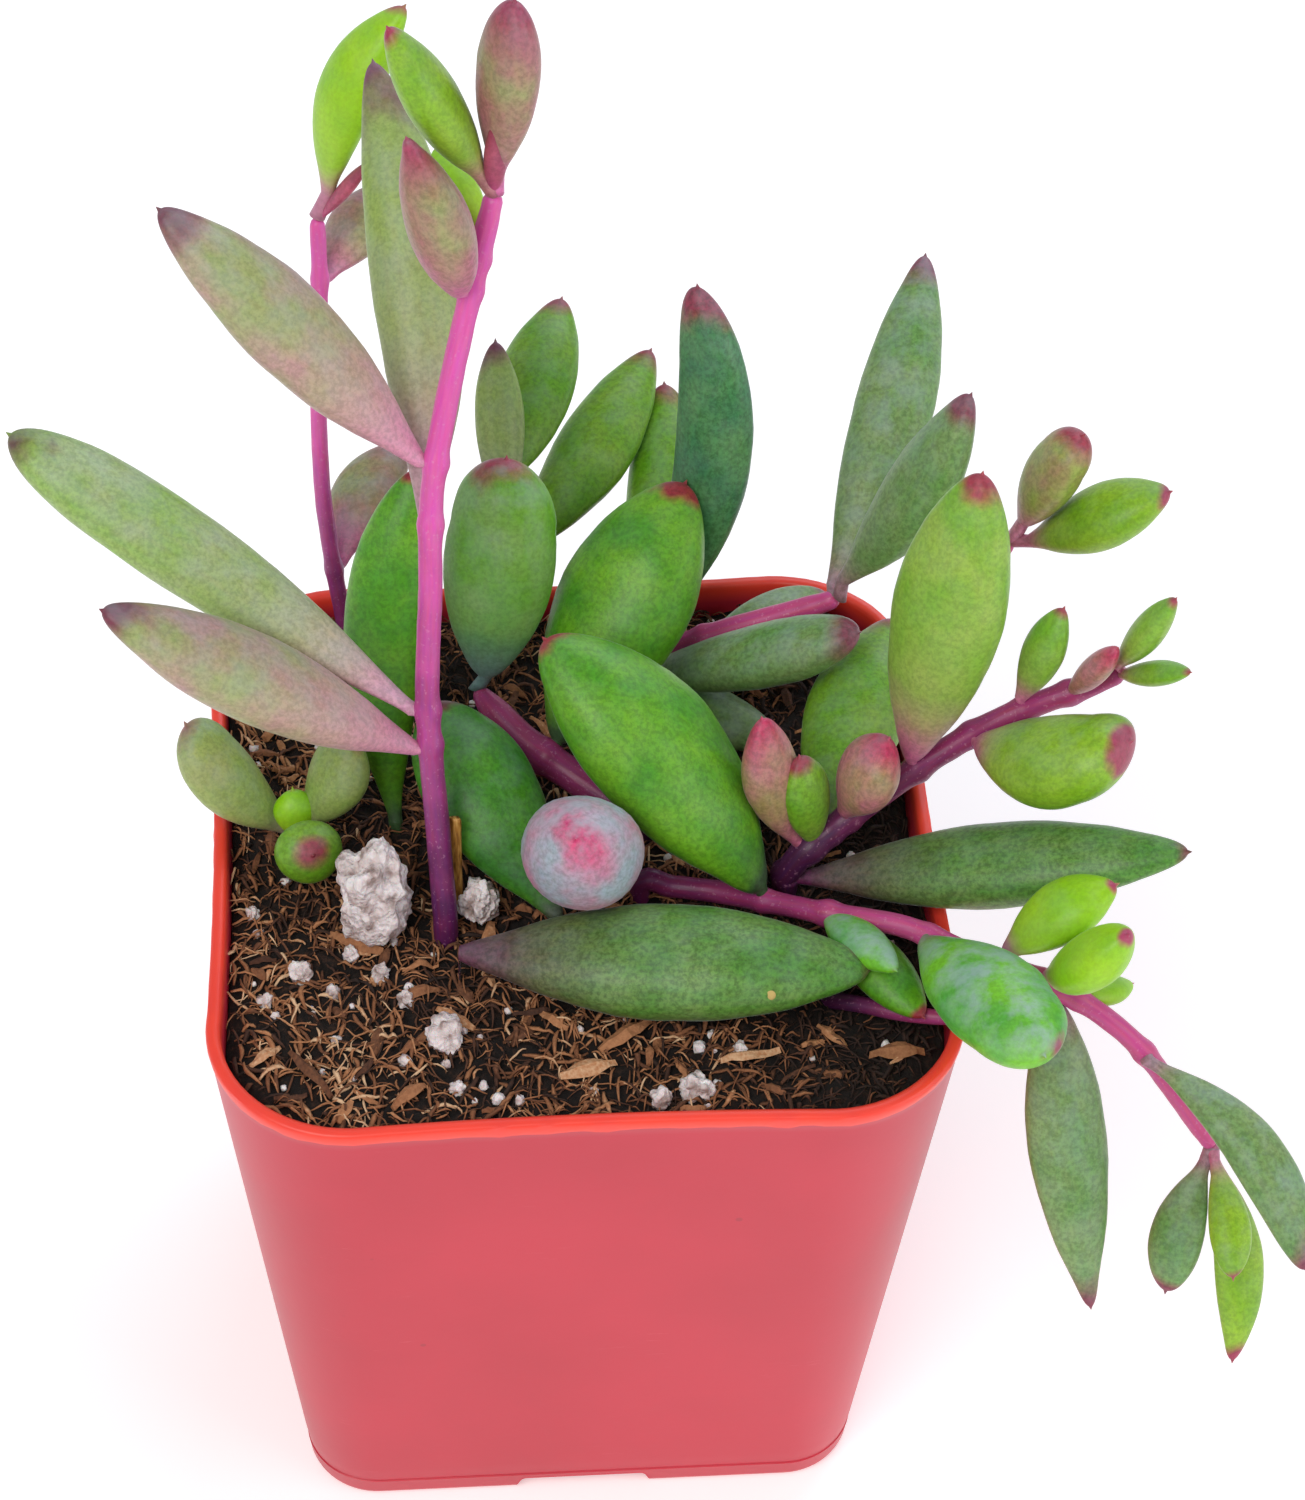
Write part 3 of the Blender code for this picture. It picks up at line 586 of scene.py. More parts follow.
# %% Scar
SCAR_ALONG, SCAR_RADIUS, SCAR_RISE = 0.77, 0.45 * MM, 0.12 * MM
scab, tree, shader, place = new_material("leaf_scar_dry_cork")
shader.inputs["Base Color"].default_value = linear("#C9B06A")
shader.inputs["Roughness"].default_value = 0.8
middle, width, thick, side, up = shapes["ground_leaf_3"]
way = np.array([-0.07, -0.90, 0.43])
wide, deep = [through(values, [SCAR_ALONG])[0] for values in (width, thick)]
turns = np.linspace(0, 2 * np.pi, 360)
rim = np.outer(np.cos(turns), side * wide) + np.outer(np.sin(turns), up * deep)
spot = through(middle, [SCAR_ALONG])[0] + rim[(rim @ way).argmax()] * 0.99
one = np.cross(way, (0, 0, 1))
one /= np.linalg.norm(one)
two = np.cross(way, one)
rings = [(1.0, -0.6), (0.95, 0.4), (0.6, 0.85), (0.15, 1.0)]
points = [spot + (one * math.cos(t) + two * math.sin(t)) * SCAR_RADIUS * size
          + way * SCAR_RISE * rise
          for size, rise in rings for t in np.arange(16) * np.pi / 8]
piece("leaf_scar", points, tube_faces(len(rings), 16), scab)
print("scar on ground_leaf_3, mm", np.round(spot / MM, 1))

# %% [markdown]
# ## The small leaves and buds
# The shoots also carry leaves and buds too small for solids of their own. Each is placed by the
# distance up its stem, and gets the same form and skins.

# %% Small leaves
BURIED = 8 * MM
SMALL = [
    # name, stem, mm above the soil along it, heading, pitch, length, width, fullest, skin
    ("tall_bud", "tall_stem", 67.0, -75, 84, 8.5, 1.9, 0.45, "pink_bud"),
    ("tall_leaf_small", "tall_stem", 61.1, 109, 27, 10.0, 4.2, 0.55, "lime"),
    ("slender_bud", "slender_stem", 43.0, -7, 55, 8.0, 1.7, 0.60, "pink_bud"),
    ("rear_leaf_7", "rear_stem", 3.5, -27, -3, 17.0, 6.5, 0.50, "grey_sage"),
    ("right_leaf_9", "right_stem", 6.3, 136, 76, 9.5, 5.0, 0.60, "crown_green"),
    ("right_leaf_10", "right_stem", 36.3, -50, 38, 9.0, 2.9, 0.55, "blush_green"),
    ("right_leaf_11", "right_stem", 31.8, -40, 64, 8.5, 3.4, 0.55, "rosy_small"),
    ("trailing_leaf_10", "trailing_stem", 41.9, 32, -22, 7.0, 3.0, 0.55, "lime"),
    ("trailing_leaf_11", "trailing_stem", 19.0, -62, 16, 10.5, 4.0, 0.50, "jade_bloom"),
    ("trailing_leaf_12", "trailing_stem", 19.6, -58, -5, 12.5, 5.0, 0.55, "big_green"),
    ("crown_leaf_3", "crown_stem", 15.0, 92, 49, 16.0, 4.4, 0.60, "pale_olive"),
    ("offset_leaf_4", "offset_stem", 2.6, 100, 70, 4.6, 3.9, 0.60, "lime"),
]
for number, (name, stem, above, heading, pitch, length, width, fullest, skin) in enumerate(SMALL):
    line = lines[stem][0]
    whole = np.linalg.norm(np.diff(line, axis=0), axis=1).sum()
    share = min((BURIED + above * MM) / whole, 0.995)
    foot = through(line, [share])[0]
    joins[stem].append(share)
    shape = small_leaf_shape(foot, heading, pitch, length, width, fullest)
    draw_leaf(name, shape, foot, skins[skin], (), 100 + number)

# %% [markdown]
# ## The stems
# A stem is a round juicy shoot, magenta where it is young and dark purple near the soil, with a
# swollen ring wherever a leaf grows or has dropped. It is drawn as a tube along the solid's own
# centre line, whose radius swells at each leaf.

# %% Stems
STEM_SIDES = 20
TIP_LENGTH = 3.0  # of a shoot's rounded end, in radii


def tube_frames(line):
    """Two directions across a line at each point, carried along it without twist."""
    ways = np.gradient(line, axis=0)
    ways /= np.linalg.norm(ways, axis=1)[:, None]
    across = np.cross(ways[0], (0.3, 0.9, 0.1))
    result = []
    for way in ways:
        across = across - way * (across @ way)
        across /= np.linalg.norm(across)
        result.append((across, np.cross(way, across)))
    return result


def stem_skin(name, low, high, turn_at):
    """Smooth waxed shoot: dark below, magenta above, with fine lengthwise ridges."""
    made, tree, shader, place = new_material("stem_skin_" + name)
    reach = add(tree, "Attribute", {"attribute_name": "reach"}).outputs["Fac"]
    grain = add(tree, "Attribute", {"attribute_name": "grain"}).outputs["Vector"]
    streak = add(tree, "TexNoise", links={"Vector": grain, "Scale": 1 / (0.35 * MM), "Detail": 4.0})
    cloud = add(tree, "TexNoise", links={"Vector": place, "Scale": 1 / (3 * MM), "Detail": 3.0})
    shift = add(tree, "Math", {"operation": "MULTIPLY_ADD"},
                {0: cloud.outputs["Fac"], 1: 0.3, 2: reach})
    flush = ramp(tree, shift.outputs[0],
                 [(max(turn_at, 0.02), low), (min(turn_at + 0.45, 1), high)])
    lined = add(tree, "Mix", {"data_type": "RGBA", "blend_type": "SOFT_LIGHT"},
                {"Factor": 0.5, 6: flush, 7: streak.outputs["Color"]})
    speck = add(tree, "TexNoise", links={"Vector": place, "Scale": 1 / (0.3 * MM), "Detail": 2.0})
    marks = ramp(tree, speck.outputs["Fac"], [(0.62, "#000000"), (0.70, "#909090")])
    marked = add(tree, "Mix", {"data_type": "RGBA"},
                 {"Factor": marks, 6: lined.outputs[2], 7: linear("#D9A0BC")})
    tree.links.new(marked.outputs[2], shader.inputs["Base Color"])
    relief = add(tree, "Bump", links={"Strength": 0.5, "Distance": 0.08 * MM,
                                      "Height": streak.outputs["Fac"]})
    tree.links.new(relief.outputs["Normal"], shader.inputs["Normal"])
    shader.inputs["Roughness"].default_value = 0.38
    shader.inputs["IOR"].default_value = 1.42
    shader.inputs["Subsurface Weight"].default_value = 0.08
    shader.inputs["Subsurface Radius"].default_value = (1.0, 0.3, 0.5)
    shader.inputs["Subsurface Scale"].default_value = 0.8 * MM
    return made


stem_skins = {
    "magenta": stem_skin("magenta", "#5E2056", "#DC5EAC", 0.30),
    "ruby": stem_skin("ruby", "#6A2458", "#C44C86", 0.25),
    "plum": stem_skin("plum", "#4A1E44", "#A03A70", 0.45),
}
PLUM = ("thick_stem", "crown_stem", "offset_stem", "right_stem")
RUBY = ("trailing_stem", "rear_stem", "side_stem")


def draw_stem(name, line, radius, swellings, material, stands_for=(), finish=1.0):
    """A shoot that tapers, swells at its leaves and ends in a rounded tip."""
    length = np.linalg.norm(np.diff(line, axis=0), axis=1).sum()
    steps = max(24, int(length / (0.35 * MM)))
    shares = np.linspace(0, 1, steps + 1)
    centres = through(line, shares)
    size = radius * (1.08 - 0.16 * shares)
    for join in swellings:
        gap = (shares - join) * length
        size += radius * 0.20 * np.exp(-(gap / (0.8 * MM)) ** 2)
    tip = np.clip((1 - shares) * length / (TIP_LENGTH * radius), 0, 1)
    size *= np.sqrt(np.maximum(1 - (1 - tip) ** 2, 0.02))
    points, grain, reach = [], [], []
    for share, centre, half, (one, two) in zip(shares, centres, size, tube_frames(centres)):
        for i in range(STEM_SIDES):
            angle = 2 * math.pi * i / STEM_SIDES
            out = one * math.cos(angle) + two * math.sin(angle)
            bump = 1 + 0.04 * noise.noise(Vector(centre + out * half) / (1.6 * MM))
            points.append(centre + out * half * bump)
            around = np.array([math.cos(angle), math.sin(angle)]) * half
            grain.append((share * length / 8, *around))
            reach.append(share)
    made = piece(name, points, tube_faces(steps + 1, STEM_SIDES), material,
                 stands_for=stands_for)
    give(made, "reach", reach)
    give(made, "grain", grain, "FLOAT_VECTOR")
    return made


for name in STEMS:
    line, radius = lines[name]
    kind = "plum" if name in PLUM else "ruby" if name in RUBY else "magenta"
    slot = "purple_stem" if kind == "plum" else "magenta_stem"
    draw_stem(name + "_shoot", line, radius, joins[name], stem_skins[kind], (name,))

# Two thin side shoots have no solid: one creeps over the soil, one stands behind the crown.
SIDE_SHOOTS = [
    ("creeping_shoot", [(20.5, -16.5, 60), (22.5, -18.5, 62), (26.5, -20.8, 63.2),
                        (31.0, -22.2, 63.9)], 0.7, "plum", "purple_stem"),
    ("crown_shoot", [(-5.2, 30, 66), (-5.9, 34, 72), (-6.3, 36.6, 77), (-5.9, 38, 84)], 0.45,
     "magenta", "magenta_stem"),
]
for name, places, half, kind, slot in SIDE_SHOOTS:
    line = even(np.array(places) * MM)
    draw_stem(name, line, half * MM, [], stem_skins[kind])

# %% [markdown]
# ## The pot
# The pot is one thin injection-moulded shell of coral polypropylene. Its corners are round, its
# sides draw in a little, and four low vents lift the middle of each side off the bench. Moulding
# leaves a faint step just above the foot and a thin, slightly ragged flash along the lip. The lip
# is painted a brighter red, a painted glow for the light that passes through the thin plastic.
# The shell is a stack of outline rings, up the outside, over the lip and down the inside, and the
# vents are cut from it.

# %% Pot outline
pot_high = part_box("pot")[1]
POT_TOP = pot_high.z
RIM_HALF = max(pot_high.x, pot_high.y)
pot_points, _ = welded("pot")
FOOT_HALF = pot_points[pot_points[:, 2] < 0.5 * MM][:, 0].max()
WALL = 1.1 * MM
RIM_CORNER = 12.0 * MM
FOOT_CORNER = 6.5 * MM
DRAW_IN = 0.5 * MM
CORNER_STEPS = 16
SIDE_STEPS = 40


def rounded_square(half, corner, draw_in):
    """Points round a square outline with round corners and slightly hollow sides."""
    straight = half - corner
    outline = []
    for quarter in range(4):
        turn = quarter * math.pi / 2
        for step in range(1, SIDE_STEPS):
            share = -1 + 2 * step / SIDE_STEPS
            outline.append((half - draw_in * (1 - share * share), straight * share, turn))
        for step in range(CORNER_STEPS + 1):
            angle = step / CORNER_STEPS * math.pi / 2
            outline.append((straight + corner * math.cos(angle),
                            straight + corner * math.sin(angle), turn))
    return [(x * math.cos(t) - y * math.sin(t), x * math.sin(t) + y * math.cos(t))
            for x, y, t in outline]


def pot_outline(z, inset):
    """The pot's outline at a height, moved inward."""
    up = z / POT_TOP
    half = FOOT_HALF + (RIM_HALF - FOOT_HALF) * up - inset
    corner = FOOT_CORNER + (RIM_CORNER - FOOT_CORNER) * up - inset
    return rounded_square(half, corner, DRAW_IN * up)


print("pot half widths in mm", round(FOOT_HALF / MM, 2), round(RIM_HALF / MM, 2))

# %% Pot plastic


def coral_plastic():
    """Injection-moulded polypropylene: soft gloss, faint flow marks, scuffs and a painted lip glow.
    """
    made, tree, shader, place = new_material("coral_polypropylene_moulded")
    lip_glow = add(tree, "Attribute", {"attribute_name": "lip_glow"}).outputs["Fac"]
    cloud = add(tree, "TexNoise", links={"Vector": place, "Scale": 1 / (22 * MM), "Detail": 3.0})
    body = ramp(tree, cloud.outputs["Fac"], [(0.35, "#C0263A"), (0.65, "#CA2E42")])
    stretch = add(tree, "Mapping", links={"Vector": place, "Rotation": (0.0, 0.5, 0.6),
                                          "Scale": (0.25, 1.0, 2.2)})
    scratch = add(tree, "TexNoise", links={"Vector": stretch.outputs[0], "Scale": 1 / (1.3 * MM),
                                           "Detail": 6.0, "Roughness": 0.75})
    zones = add(tree, "TexNoise", links={"Vector": place, "Scale": 1 / (9 * MM), "Detail": 2.0})
    zone = ramp(tree, zones.outputs["Fac"], [(0.52, "#000000"), (0.70, "#FFFFFF")])
    marks = ramp(tree, scratch.outputs["Fac"], [(0.62, "#000000"), (0.70, "#8A8A8A")])
    scuffed = add(tree, "Math", {"operation": "MULTIPLY"}, {0: zone, 1: marks})
    scuff = add(tree, "Mix", {"data_type": "RGBA"},
                {"Factor": scuffed.outputs[0], 6: body, 7: linear("#E88A90")})
    specks = add(tree, "TexVoronoi", links={"Vector": place, "Scale": 1 / (7 * MM)})
    dots = ramp(tree, specks.outputs["Distance"], [(0.035, "#B0B0B0"), (0.05, "#000000")])
    dotted = add(tree, "Mix", {"data_type": "RGBA"},
                 {"Factor": dots, 6: scuff.outputs[2], 7: linear("#8C2A34")})
    # The lip is painted a brighter red: a painted glow for light passing through the thin plastic.
    lip_glow_painted = add(tree, "Mix", {"data_type": "RGBA"},
                 {"Factor": lip_glow, 6: dotted.outputs[2], 7: linear("#FF4A34")})
    tree.links.new(lip_glow_painted.outputs[2], shader.inputs["Base Color"])
    gloss = add(tree, "MapRange", links={"Value": cloud.outputs["Fac"], "To Min": 0.30,
                                         "To Max": 0.44})
    worn = add(tree, "Math", {"operation": "MULTIPLY_ADD"},
               {0: scuffed.outputs[0], 1: 0.25, 2: gloss.outputs[0]})
    tree.links.new(worn.outputs[0], shader.inputs["Roughness"])
    orange_peel = add(tree, "TexNoise", links={"Vector": place, "Scale": 1 / (0.9 * MM),
                                               "Detail": 3.0})
    height = add(tree, "Math", {"operation": "MULTIPLY_ADD"},
                 {0: scuffed.outputs[0], 1: -0.8, 2: orange_peel.outputs["Fac"]})
    relief = add(tree, "Bump", links={"Strength": 0.15, "Distance": 0.04 * MM,
                                      "Height": height.outputs[0]})
    tree.links.new(relief.outputs["Normal"], shader.inputs["Normal"])
    shader.inputs["IOR"].default_value = 1.49
    shader.inputs["Subsurface Weight"].default_value = 0.10
    shader.inputs["Subsurface Radius"].default_value = (1.0, 0.25, 0.2)
    shader.inputs["Subsurface Scale"].default_value = 1.0 * MM
    return made


plastic = coral_plastic()

# %% Pot shell
FLASH = 0.16 * MM


def pot_shell():
    """Points, faces and painted lip glow shares of the whole shell, vents not yet cut."""
    stack = [(0.0, 1.0, 0), (0.08, 0.62, 0), (0.29, 0.29, 0), (0.62, 0.08, 0), (1.0, 0.0, 0),
             (2.55, 0.0, 0), (2.65, -0.02, 0), (2.72, 0.10, 0), (3.1, 0.05, 0)]
    top = POT_TOP / MM
    stack += [(z, 0.0, 0) for z in np.linspace(5, top - 2.2, 22)]
    stack += [(top - 1.45, 0.0, 1), (top - 1.15, 0.0, 2), (top - 0.5, 0.0, 3),
              (top - 0.16, 0.06, 4), (top - 0.03, 0.3, 4), (top, 0.55, 5),
              (top - 0.03, 0.8, 6), (top - 0.2, 1.05, 6), (top - 0.6, 1.1, 6)]
    stack += [(z, 1.1, 6) for z in np.linspace(top - 2, 1.6, 14)] + [(1.1, 1.7, 6)]
    points, lip_glow = [], []
    for z, inset, zone in stack:
        for x, y in pot_outline(z * MM, inset * MM):
            rag = noise.noise(Vector((x, y, 0)) / (2.3 * MM))
            rag += 0.6 * noise.noise(Vector((x, y, 5)) / (0.9 * MM))
            out, rise, share = 0.0, 0.0, 0.0
            if zone in (1, 2):
                rise = 0.35 * rag * MM
            if zone in (2, 3):
                out, share = FLASH * (0.7 + 0.5 * rag), 1.0
            if zone == 4:
                out, share = FLASH * 0.4, 1.0
            if zone >= 5:
                share = 1.0 if z > top - 1.5 else 0.0
            if zone in (4, 5):
                rise = 0.05 * rag * MM
            away = Vector((x, y, 0)).normalized() * out
            points.append((x + away.x, y + away.y, min(z * MM + rise, POT_TOP)))
            lip_glow.append(share * (0.85 + 0.15 * rag))
    sides = len(points) // len(stack)
    return points, tube_faces(len(stack), sides), lip_glow


def turned(x, y, quarter):
    """A place on the +Y side, turned to one of the four sides."""
    turn = quarter * math.pi / 2
    return x * math.cos(turn) - y * math.sin(turn), x * math.sin(turn) + y * math.cos(turn)


def cutter(work, name):
    """A helper mesh in the scene that joins or cuts the pot."""
    bmesh.ops.recalc_face_normals(work, faces=work.faces)
    mesh = bpy.data.meshes.new(name)
    work.to_mesh(mesh)
    work.free()
    made = bpy.data.objects.new(name, mesh)
    bpy.context.scene.collection.objects.link(made)
    return made


def wedges(name, widths, heights, inner, outer, round_by=0.0):
    """A wedge under the middle of each side, its edges rounded."""
    work = bmesh.new()
    for quarter in range(4):
        for vert in bmesh.ops.create_cube(work, size=1.0)["verts"]:
            top = vert.co.z > 0
            x = math.copysign(widths[top] / 2, vert.co.x)
            y = outer[top] if vert.co.y > 0 else inner
            vert.co = (*turned(x, y, quarter), heights[top])
    if round_by:
        bmesh.ops.bevel(work, geom=work.edges[:], offset=round_by, segments=4, affect="EDGES",
                        profile=0.5)
    return cutter(work, name)


def drills(reach, low, high):
    """An upright drill for each drain hole."""
    work = bmesh.new()
    for quarter in range(4):
        for vert in bmesh.ops.create_cone(work, cap_ends=True, segments=28, radius1=1.5 * MM,
                                          radius2=1.5 * MM, depth=high - low)["verts"]:
            vert.co = (*turned(vert.co.x, vert.co.y + reach, quarter), vert.co.z + (low + high) / 2)
    return cutter(work, "drills")


points, faces, lip_glow = pot_shell()
pot = piece("nursery_pot", points, faces, plastic, stands_for=("pot",))
give(pot, "lip_glow", lip_glow)
inner_face = FOOT_HALF - 5.0 * MM
tools = [
    (wedges("bosses", (16.7 * MM, 13.7 * MM), (0.55 * MM, 3.1 * MM), inner_face - WALL,
            (FOOT_HALF - 0.55 * MM, FOOT_HALF - 0.30 * MM)), "UNION"),
    (wedges("notches", (14.5 * MM, 11.5 * MM), (-2 * MM, 2 * MM), inner_face,
            (FOOT_HALF + WALL, FOOT_HALF + WALL), 0.45 * MM), "DIFFERENCE"),
    (drills(FOOT_HALF - 3.05 * MM, 1.2 * MM, 4.5 * MM), "DIFFERENCE"),
]
for tool, way in tools:
    cut = pot.modifiers.new(tool.name, "BOOLEAN")
    cut.operation = way
    cut.object = tool
    cut.solver = "EXACT"
bpy.context.view_layer.update()
cut_mesh = bpy.data.meshes.new_from_object(pot.evaluated_get(bpy.context.evaluated_depsgraph_get()))
pot.modifiers.clear()
pot.data = cut_mesh
cut_mesh.set_sharp_from_angle(angle=math.radians(50))
for tool, _ in tools:
    bpy.data.objects.remove(tool)
print("pot faces", len(cut_mesh.polygons))

# %% [markdown]
# ## The soil
# The mix is mostly dark peat, with brown fibres and bark chips on top and white perlite mixed
# in. One bumpy sheet is enough for the peat between the crumbs. What catches the eye lies on
# it, so fibres, chips and grains are meshes: a few thousand small ones in three pieces.

# %% Peat bed
SOIL_SEED = 7
SOIL_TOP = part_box("soil")[1].z - 0.35 * MM
draw = random.Random(SOIL_SEED)


def soil_height(x, y):
    """The peat's surface, a little lower at the front right, with crumbs of two sizes."""
    spot = Vector((x, y, 0))
    crumbs = 0.55 * noise.noise(spot / (3.2 * MM)) + 0.42 * noise.noise(spot / (1.1 * MM))
    crumbs += 0.22 * noise.noise(spot / (0.5 * MM))
    slope = 0.5 * (x - y) / (2 * RIM_HALF)
    return SOIL_TOP + (crumbs - slope - 0.35) * MM


def inside(x, y, margin):
    """Whether a place lies inside the pot's wall at the soil, by a margin."""
    half = RIM_HALF - WALL - 0.9 * MM - margin
    corner = RIM_CORNER - WALL
    over = Vector((max(abs(x) - half + corner, 0), max(abs(y) - half + corner, 0)))
    return over.length < corner and abs(x) < half and abs(y) < half


def peat():
    """Moist peat: nearly black, crumbly and quite matt, with brown dust on the high spots."""
    made, tree, shader, place = new_material("peat_moist")
    crumb = add(tree, "TexNoise", links={"Vector": place, "Scale": 1 / (0.8 * MM), "Detail": 6.0,
                                         "Roughness": 0.7})
    shade = ramp(tree, crumb.outputs["Fac"],
                 [(0.34, "#080605"), (0.52, "#1A120D"), (0.64, "#382418"), (0.80, "#6A4630")])
    tree.links.new(shade, shader.inputs["Base Color"])
    relief = add(tree, "Bump", links={"Strength": 1.0, "Distance": 0.5 * MM,
                                      "Height": crumb.outputs["Fac"]})
    tree.links.new(relief.outputs["Normal"], shader.inputs["Normal"])
    shader.inputs["Roughness"].default_value = 0.92
    return made


def peat_bed():
    """A closed body under a fine bumpy top that ends at the pot's wall."""
    rings = 84
    points = []
    level = SOIL_TOP / MM
    floor_ring = pot_outline(3.6 * MM, WALL + 0.15 * MM)
    points += [(x, y, 3.6 * MM) for x, y in floor_ring]
    edge = pot_outline((level - 1.5) * MM, WALL + 0.12 * MM)
    points += [(x, y, SOIL_TOP - 1.5 * MM) for x, y in edge]
    rim = pot_outline((level - 0.4) * MM, WALL + 0.12 * MM)
    for ring in range(rings):
        share = 1 - ring / rings
        for x, y in rim:
            x, y = x * share, y * share
            sink = 0.6 * MM * max(0.0, 1 - ring / 3)
            points.append((x, y, soil_height(x, y) - sink))
    return points, tube_faces(rings + 2, len(rim))


points, faces = peat_bed()
piece("peat_bed", points, faces, peat(), stands_for=("soil",))
print("peat bed faces", len(faces))

# %% [markdown]
# ## Fibres and bark
# Coconut fibre is stringy, here from 1 to 3 mm long and up to a quarter of a millimetre thick,
# and bark chips are wider, up to 6 mm long. Both run in browns from coffee to straw. Each one
# is a bent strip of a few segments with its own tone.

# %% Fibres and chips
FIBRE_TRIES = 6500
CHIP_TRIES = 150
STRAND_STEPS = 6
STRAND_FACES = 4 * STRAND_STEPS + 2


def fibre_finish():
    """Dry plant fibre: matt, with grain along it, in a tone that differs for each strand."""
    made, tree, shader, place = new_material("bark_fibre_dry")
    tone = add(tree, "Attribute", {"attribute_name": "tone"}).outputs["Fac"]
    grit = add(tree, "TexNoise", links={"Vector": place, "Scale": 1 / (0.35 * MM), "Detail": 4.0})
    mixed = add(tree, "Math", {"operation": "MULTIPLY_ADD"},
                {0: grit.outputs["Fac"], 1: 0.35, 2: tone})
    shade = ramp(tree, mixed.outputs[0],
                 [(0.12, "#1E1410"), (0.38, "#4E3020"), (0.62, "#8A5A3A"), (0.85, "#B98258"),
                  (1.0, "#E0BC94")])
    tree.links.new(shade, shader.inputs["Base Color"])
    relief = add(tree, "Bump", links={"Strength": 0.8, "Distance": 0.15 * MM,
                                      "Height": grit.outputs["Fac"]})
    tree.links.new(relief.outputs["Normal"], shader.inputs["Normal"])
    shader.inputs["Roughness"].default_value = 0.85
    return made


def strand(place, heading, length, width, thick, curl, lift, tone, store):
    """Add a bent strip of closed rings to the store of points, faces and tones."""
    points, faces, tones = store
    start = len(points)
    x, y = place
    angle = heading
    spine = []
    for _ in range(STRAND_STEPS + 1):
        spine.append((x, y, angle))
        x += math.cos(angle) * length / STRAND_STEPS
        y += math.sin(angle) * length / STRAND_STEPS
        angle += curl * draw.uniform(0.2, 1.0) / STRAND_STEPS
    if not all(inside(px, py, -0.5 * MM) for px, py, _ in spine):
        return
    for k, (px, py, way) in enumerate(spine):
        share = k / STRAND_STEPS
        half = width / 2 * (0.35 + 0.65 * math.sin(math.pi * min(max(share, 0.08), 0.92)))
        arch = lift * math.sin(math.pi * share) + draw.uniform(0, 0.12 * MM)
        z = soil_height(px, py) + thick / 2 + arch
        across = Vector((-math.sin(way), math.cos(way), draw.uniform(-0.3, 0.3)))
        for one, two in ((1, 0), (0.2, 1), (-1, 0.1), (-0.1, -1)):
            points.append(Vector((px, py, z)) + across * half * one
                          + Vector((0, 0, thick / 2 * two)))
            tones.append(tone)
    for k in range(STRAND_STEPS):
        for i in range(4):
            j = (i + 1) % 4
            a = start + 4 * k
            faces.append((a + i, a + j, a + 4 + j, a + 4 + i))
    faces.append((start + 3, start + 2, start + 1, start))
    end = start + 4 * STRAND_STEPS
    faces.append((end, end + 1, end + 2, end + 3))


fibre = fibre_finish()
store = ([], [], [])
for _ in range(FIBRE_TRIES):
    x, y = draw.uniform(-30 * MM, 30 * MM), draw.uniform(-30 * MM, 30 * MM)
    brown = noise.noise(Vector((x, y, 3)) / (9 * MM))
    thin = draw.random() < 0.7
    # Fibres right of x = 13 mm get a darker tone: painted shade over that side of the soil.
    dark = 45 * max(x - 13 * MM, 0)
    strand((x, y), draw.uniform(0, 2 * math.pi), draw.uniform(0.8, 3.2) * MM,
           (draw.uniform(0.12, 0.26) if thin else draw.uniform(0.26, 0.5)) * MM,
           draw.uniform(0.10, 0.24) * MM, draw.uniform(-2.2, 2.2), draw.uniform(0, 0.7) * MM,
           min(max(draw.gauss(0.42 + 0.3 * brown - dark, 0.22), 0.0), 0.95), store)
mat = piece("peat_fibres", store[0], store[1], fibre)
give(mat, "tone", store[2])
print("fibres", len(store[1]) // STRAND_FACES)

# x and y in mm, heading in radians, length and width in mm, tone
CHIPS = [(-2.6, -24.6, 0.2, 5.0, 1.6, 0.72), (-8.7, -12.1, 1.2, 4.5, 1.3, 0.66),
         (-24.9, -20.6, -1.1, 6.0, 1.0, 0.30), (10.9, -23.4, 0.1, 5.2, 1.3, 0.74),
         (-21.4, -8.2, -0.6, 5.0, 1.5, 0.55), (23.5, -22.9, -0.2, 4.6, 1.6, 0.52),
         (-27, 15, 0.9, 5.2, 1.6, 0.58), (0.9, -21.8, 0.5, 5.5, 1.4, 0.62),
         (-12.5, -16.5, -0.8, 4.0, 1.1, 0.7), (-16.5, -27, 0.6, 3.6, 1.2, 0.55)]
store = ([], [], [])
for x, y, heading, length, width, tone in CHIPS:
    strand((x * MM, y * MM), heading, length * MM, width * MM, 0.7 * MM, 0.5, 0.5 * MM, tone, store)
for _ in range(CHIP_TRIES):
    strand((draw.uniform(-29, 29) * MM, draw.uniform(-29, 29) * MM), draw.uniform(0, 6.3),
           draw.uniform(1.2, 3.8) * MM, draw.uniform(0.5, 1.1) * MM, draw.uniform(0.3, 0.6) * MM,
           draw.uniform(-0.8, 0.8), draw.uniform(0, 0.4) * MM, draw.uniform(0.15, 0.75), store)
bark = piece("bark_chips", store[0], store[1], fibre, smooth=False)
give(bark, "tone", store[2])

# %% [markdown]
# ## Perlite
# Perlite is volcanic glass that was heated until it popped, so each grain is a white lump full
# of tiny holes. Lumps are spheres pushed in and out by noise of two sizes, and the holes too
# small to model are in the bump.

# %% Perlite
FINE_GRAINS = 130


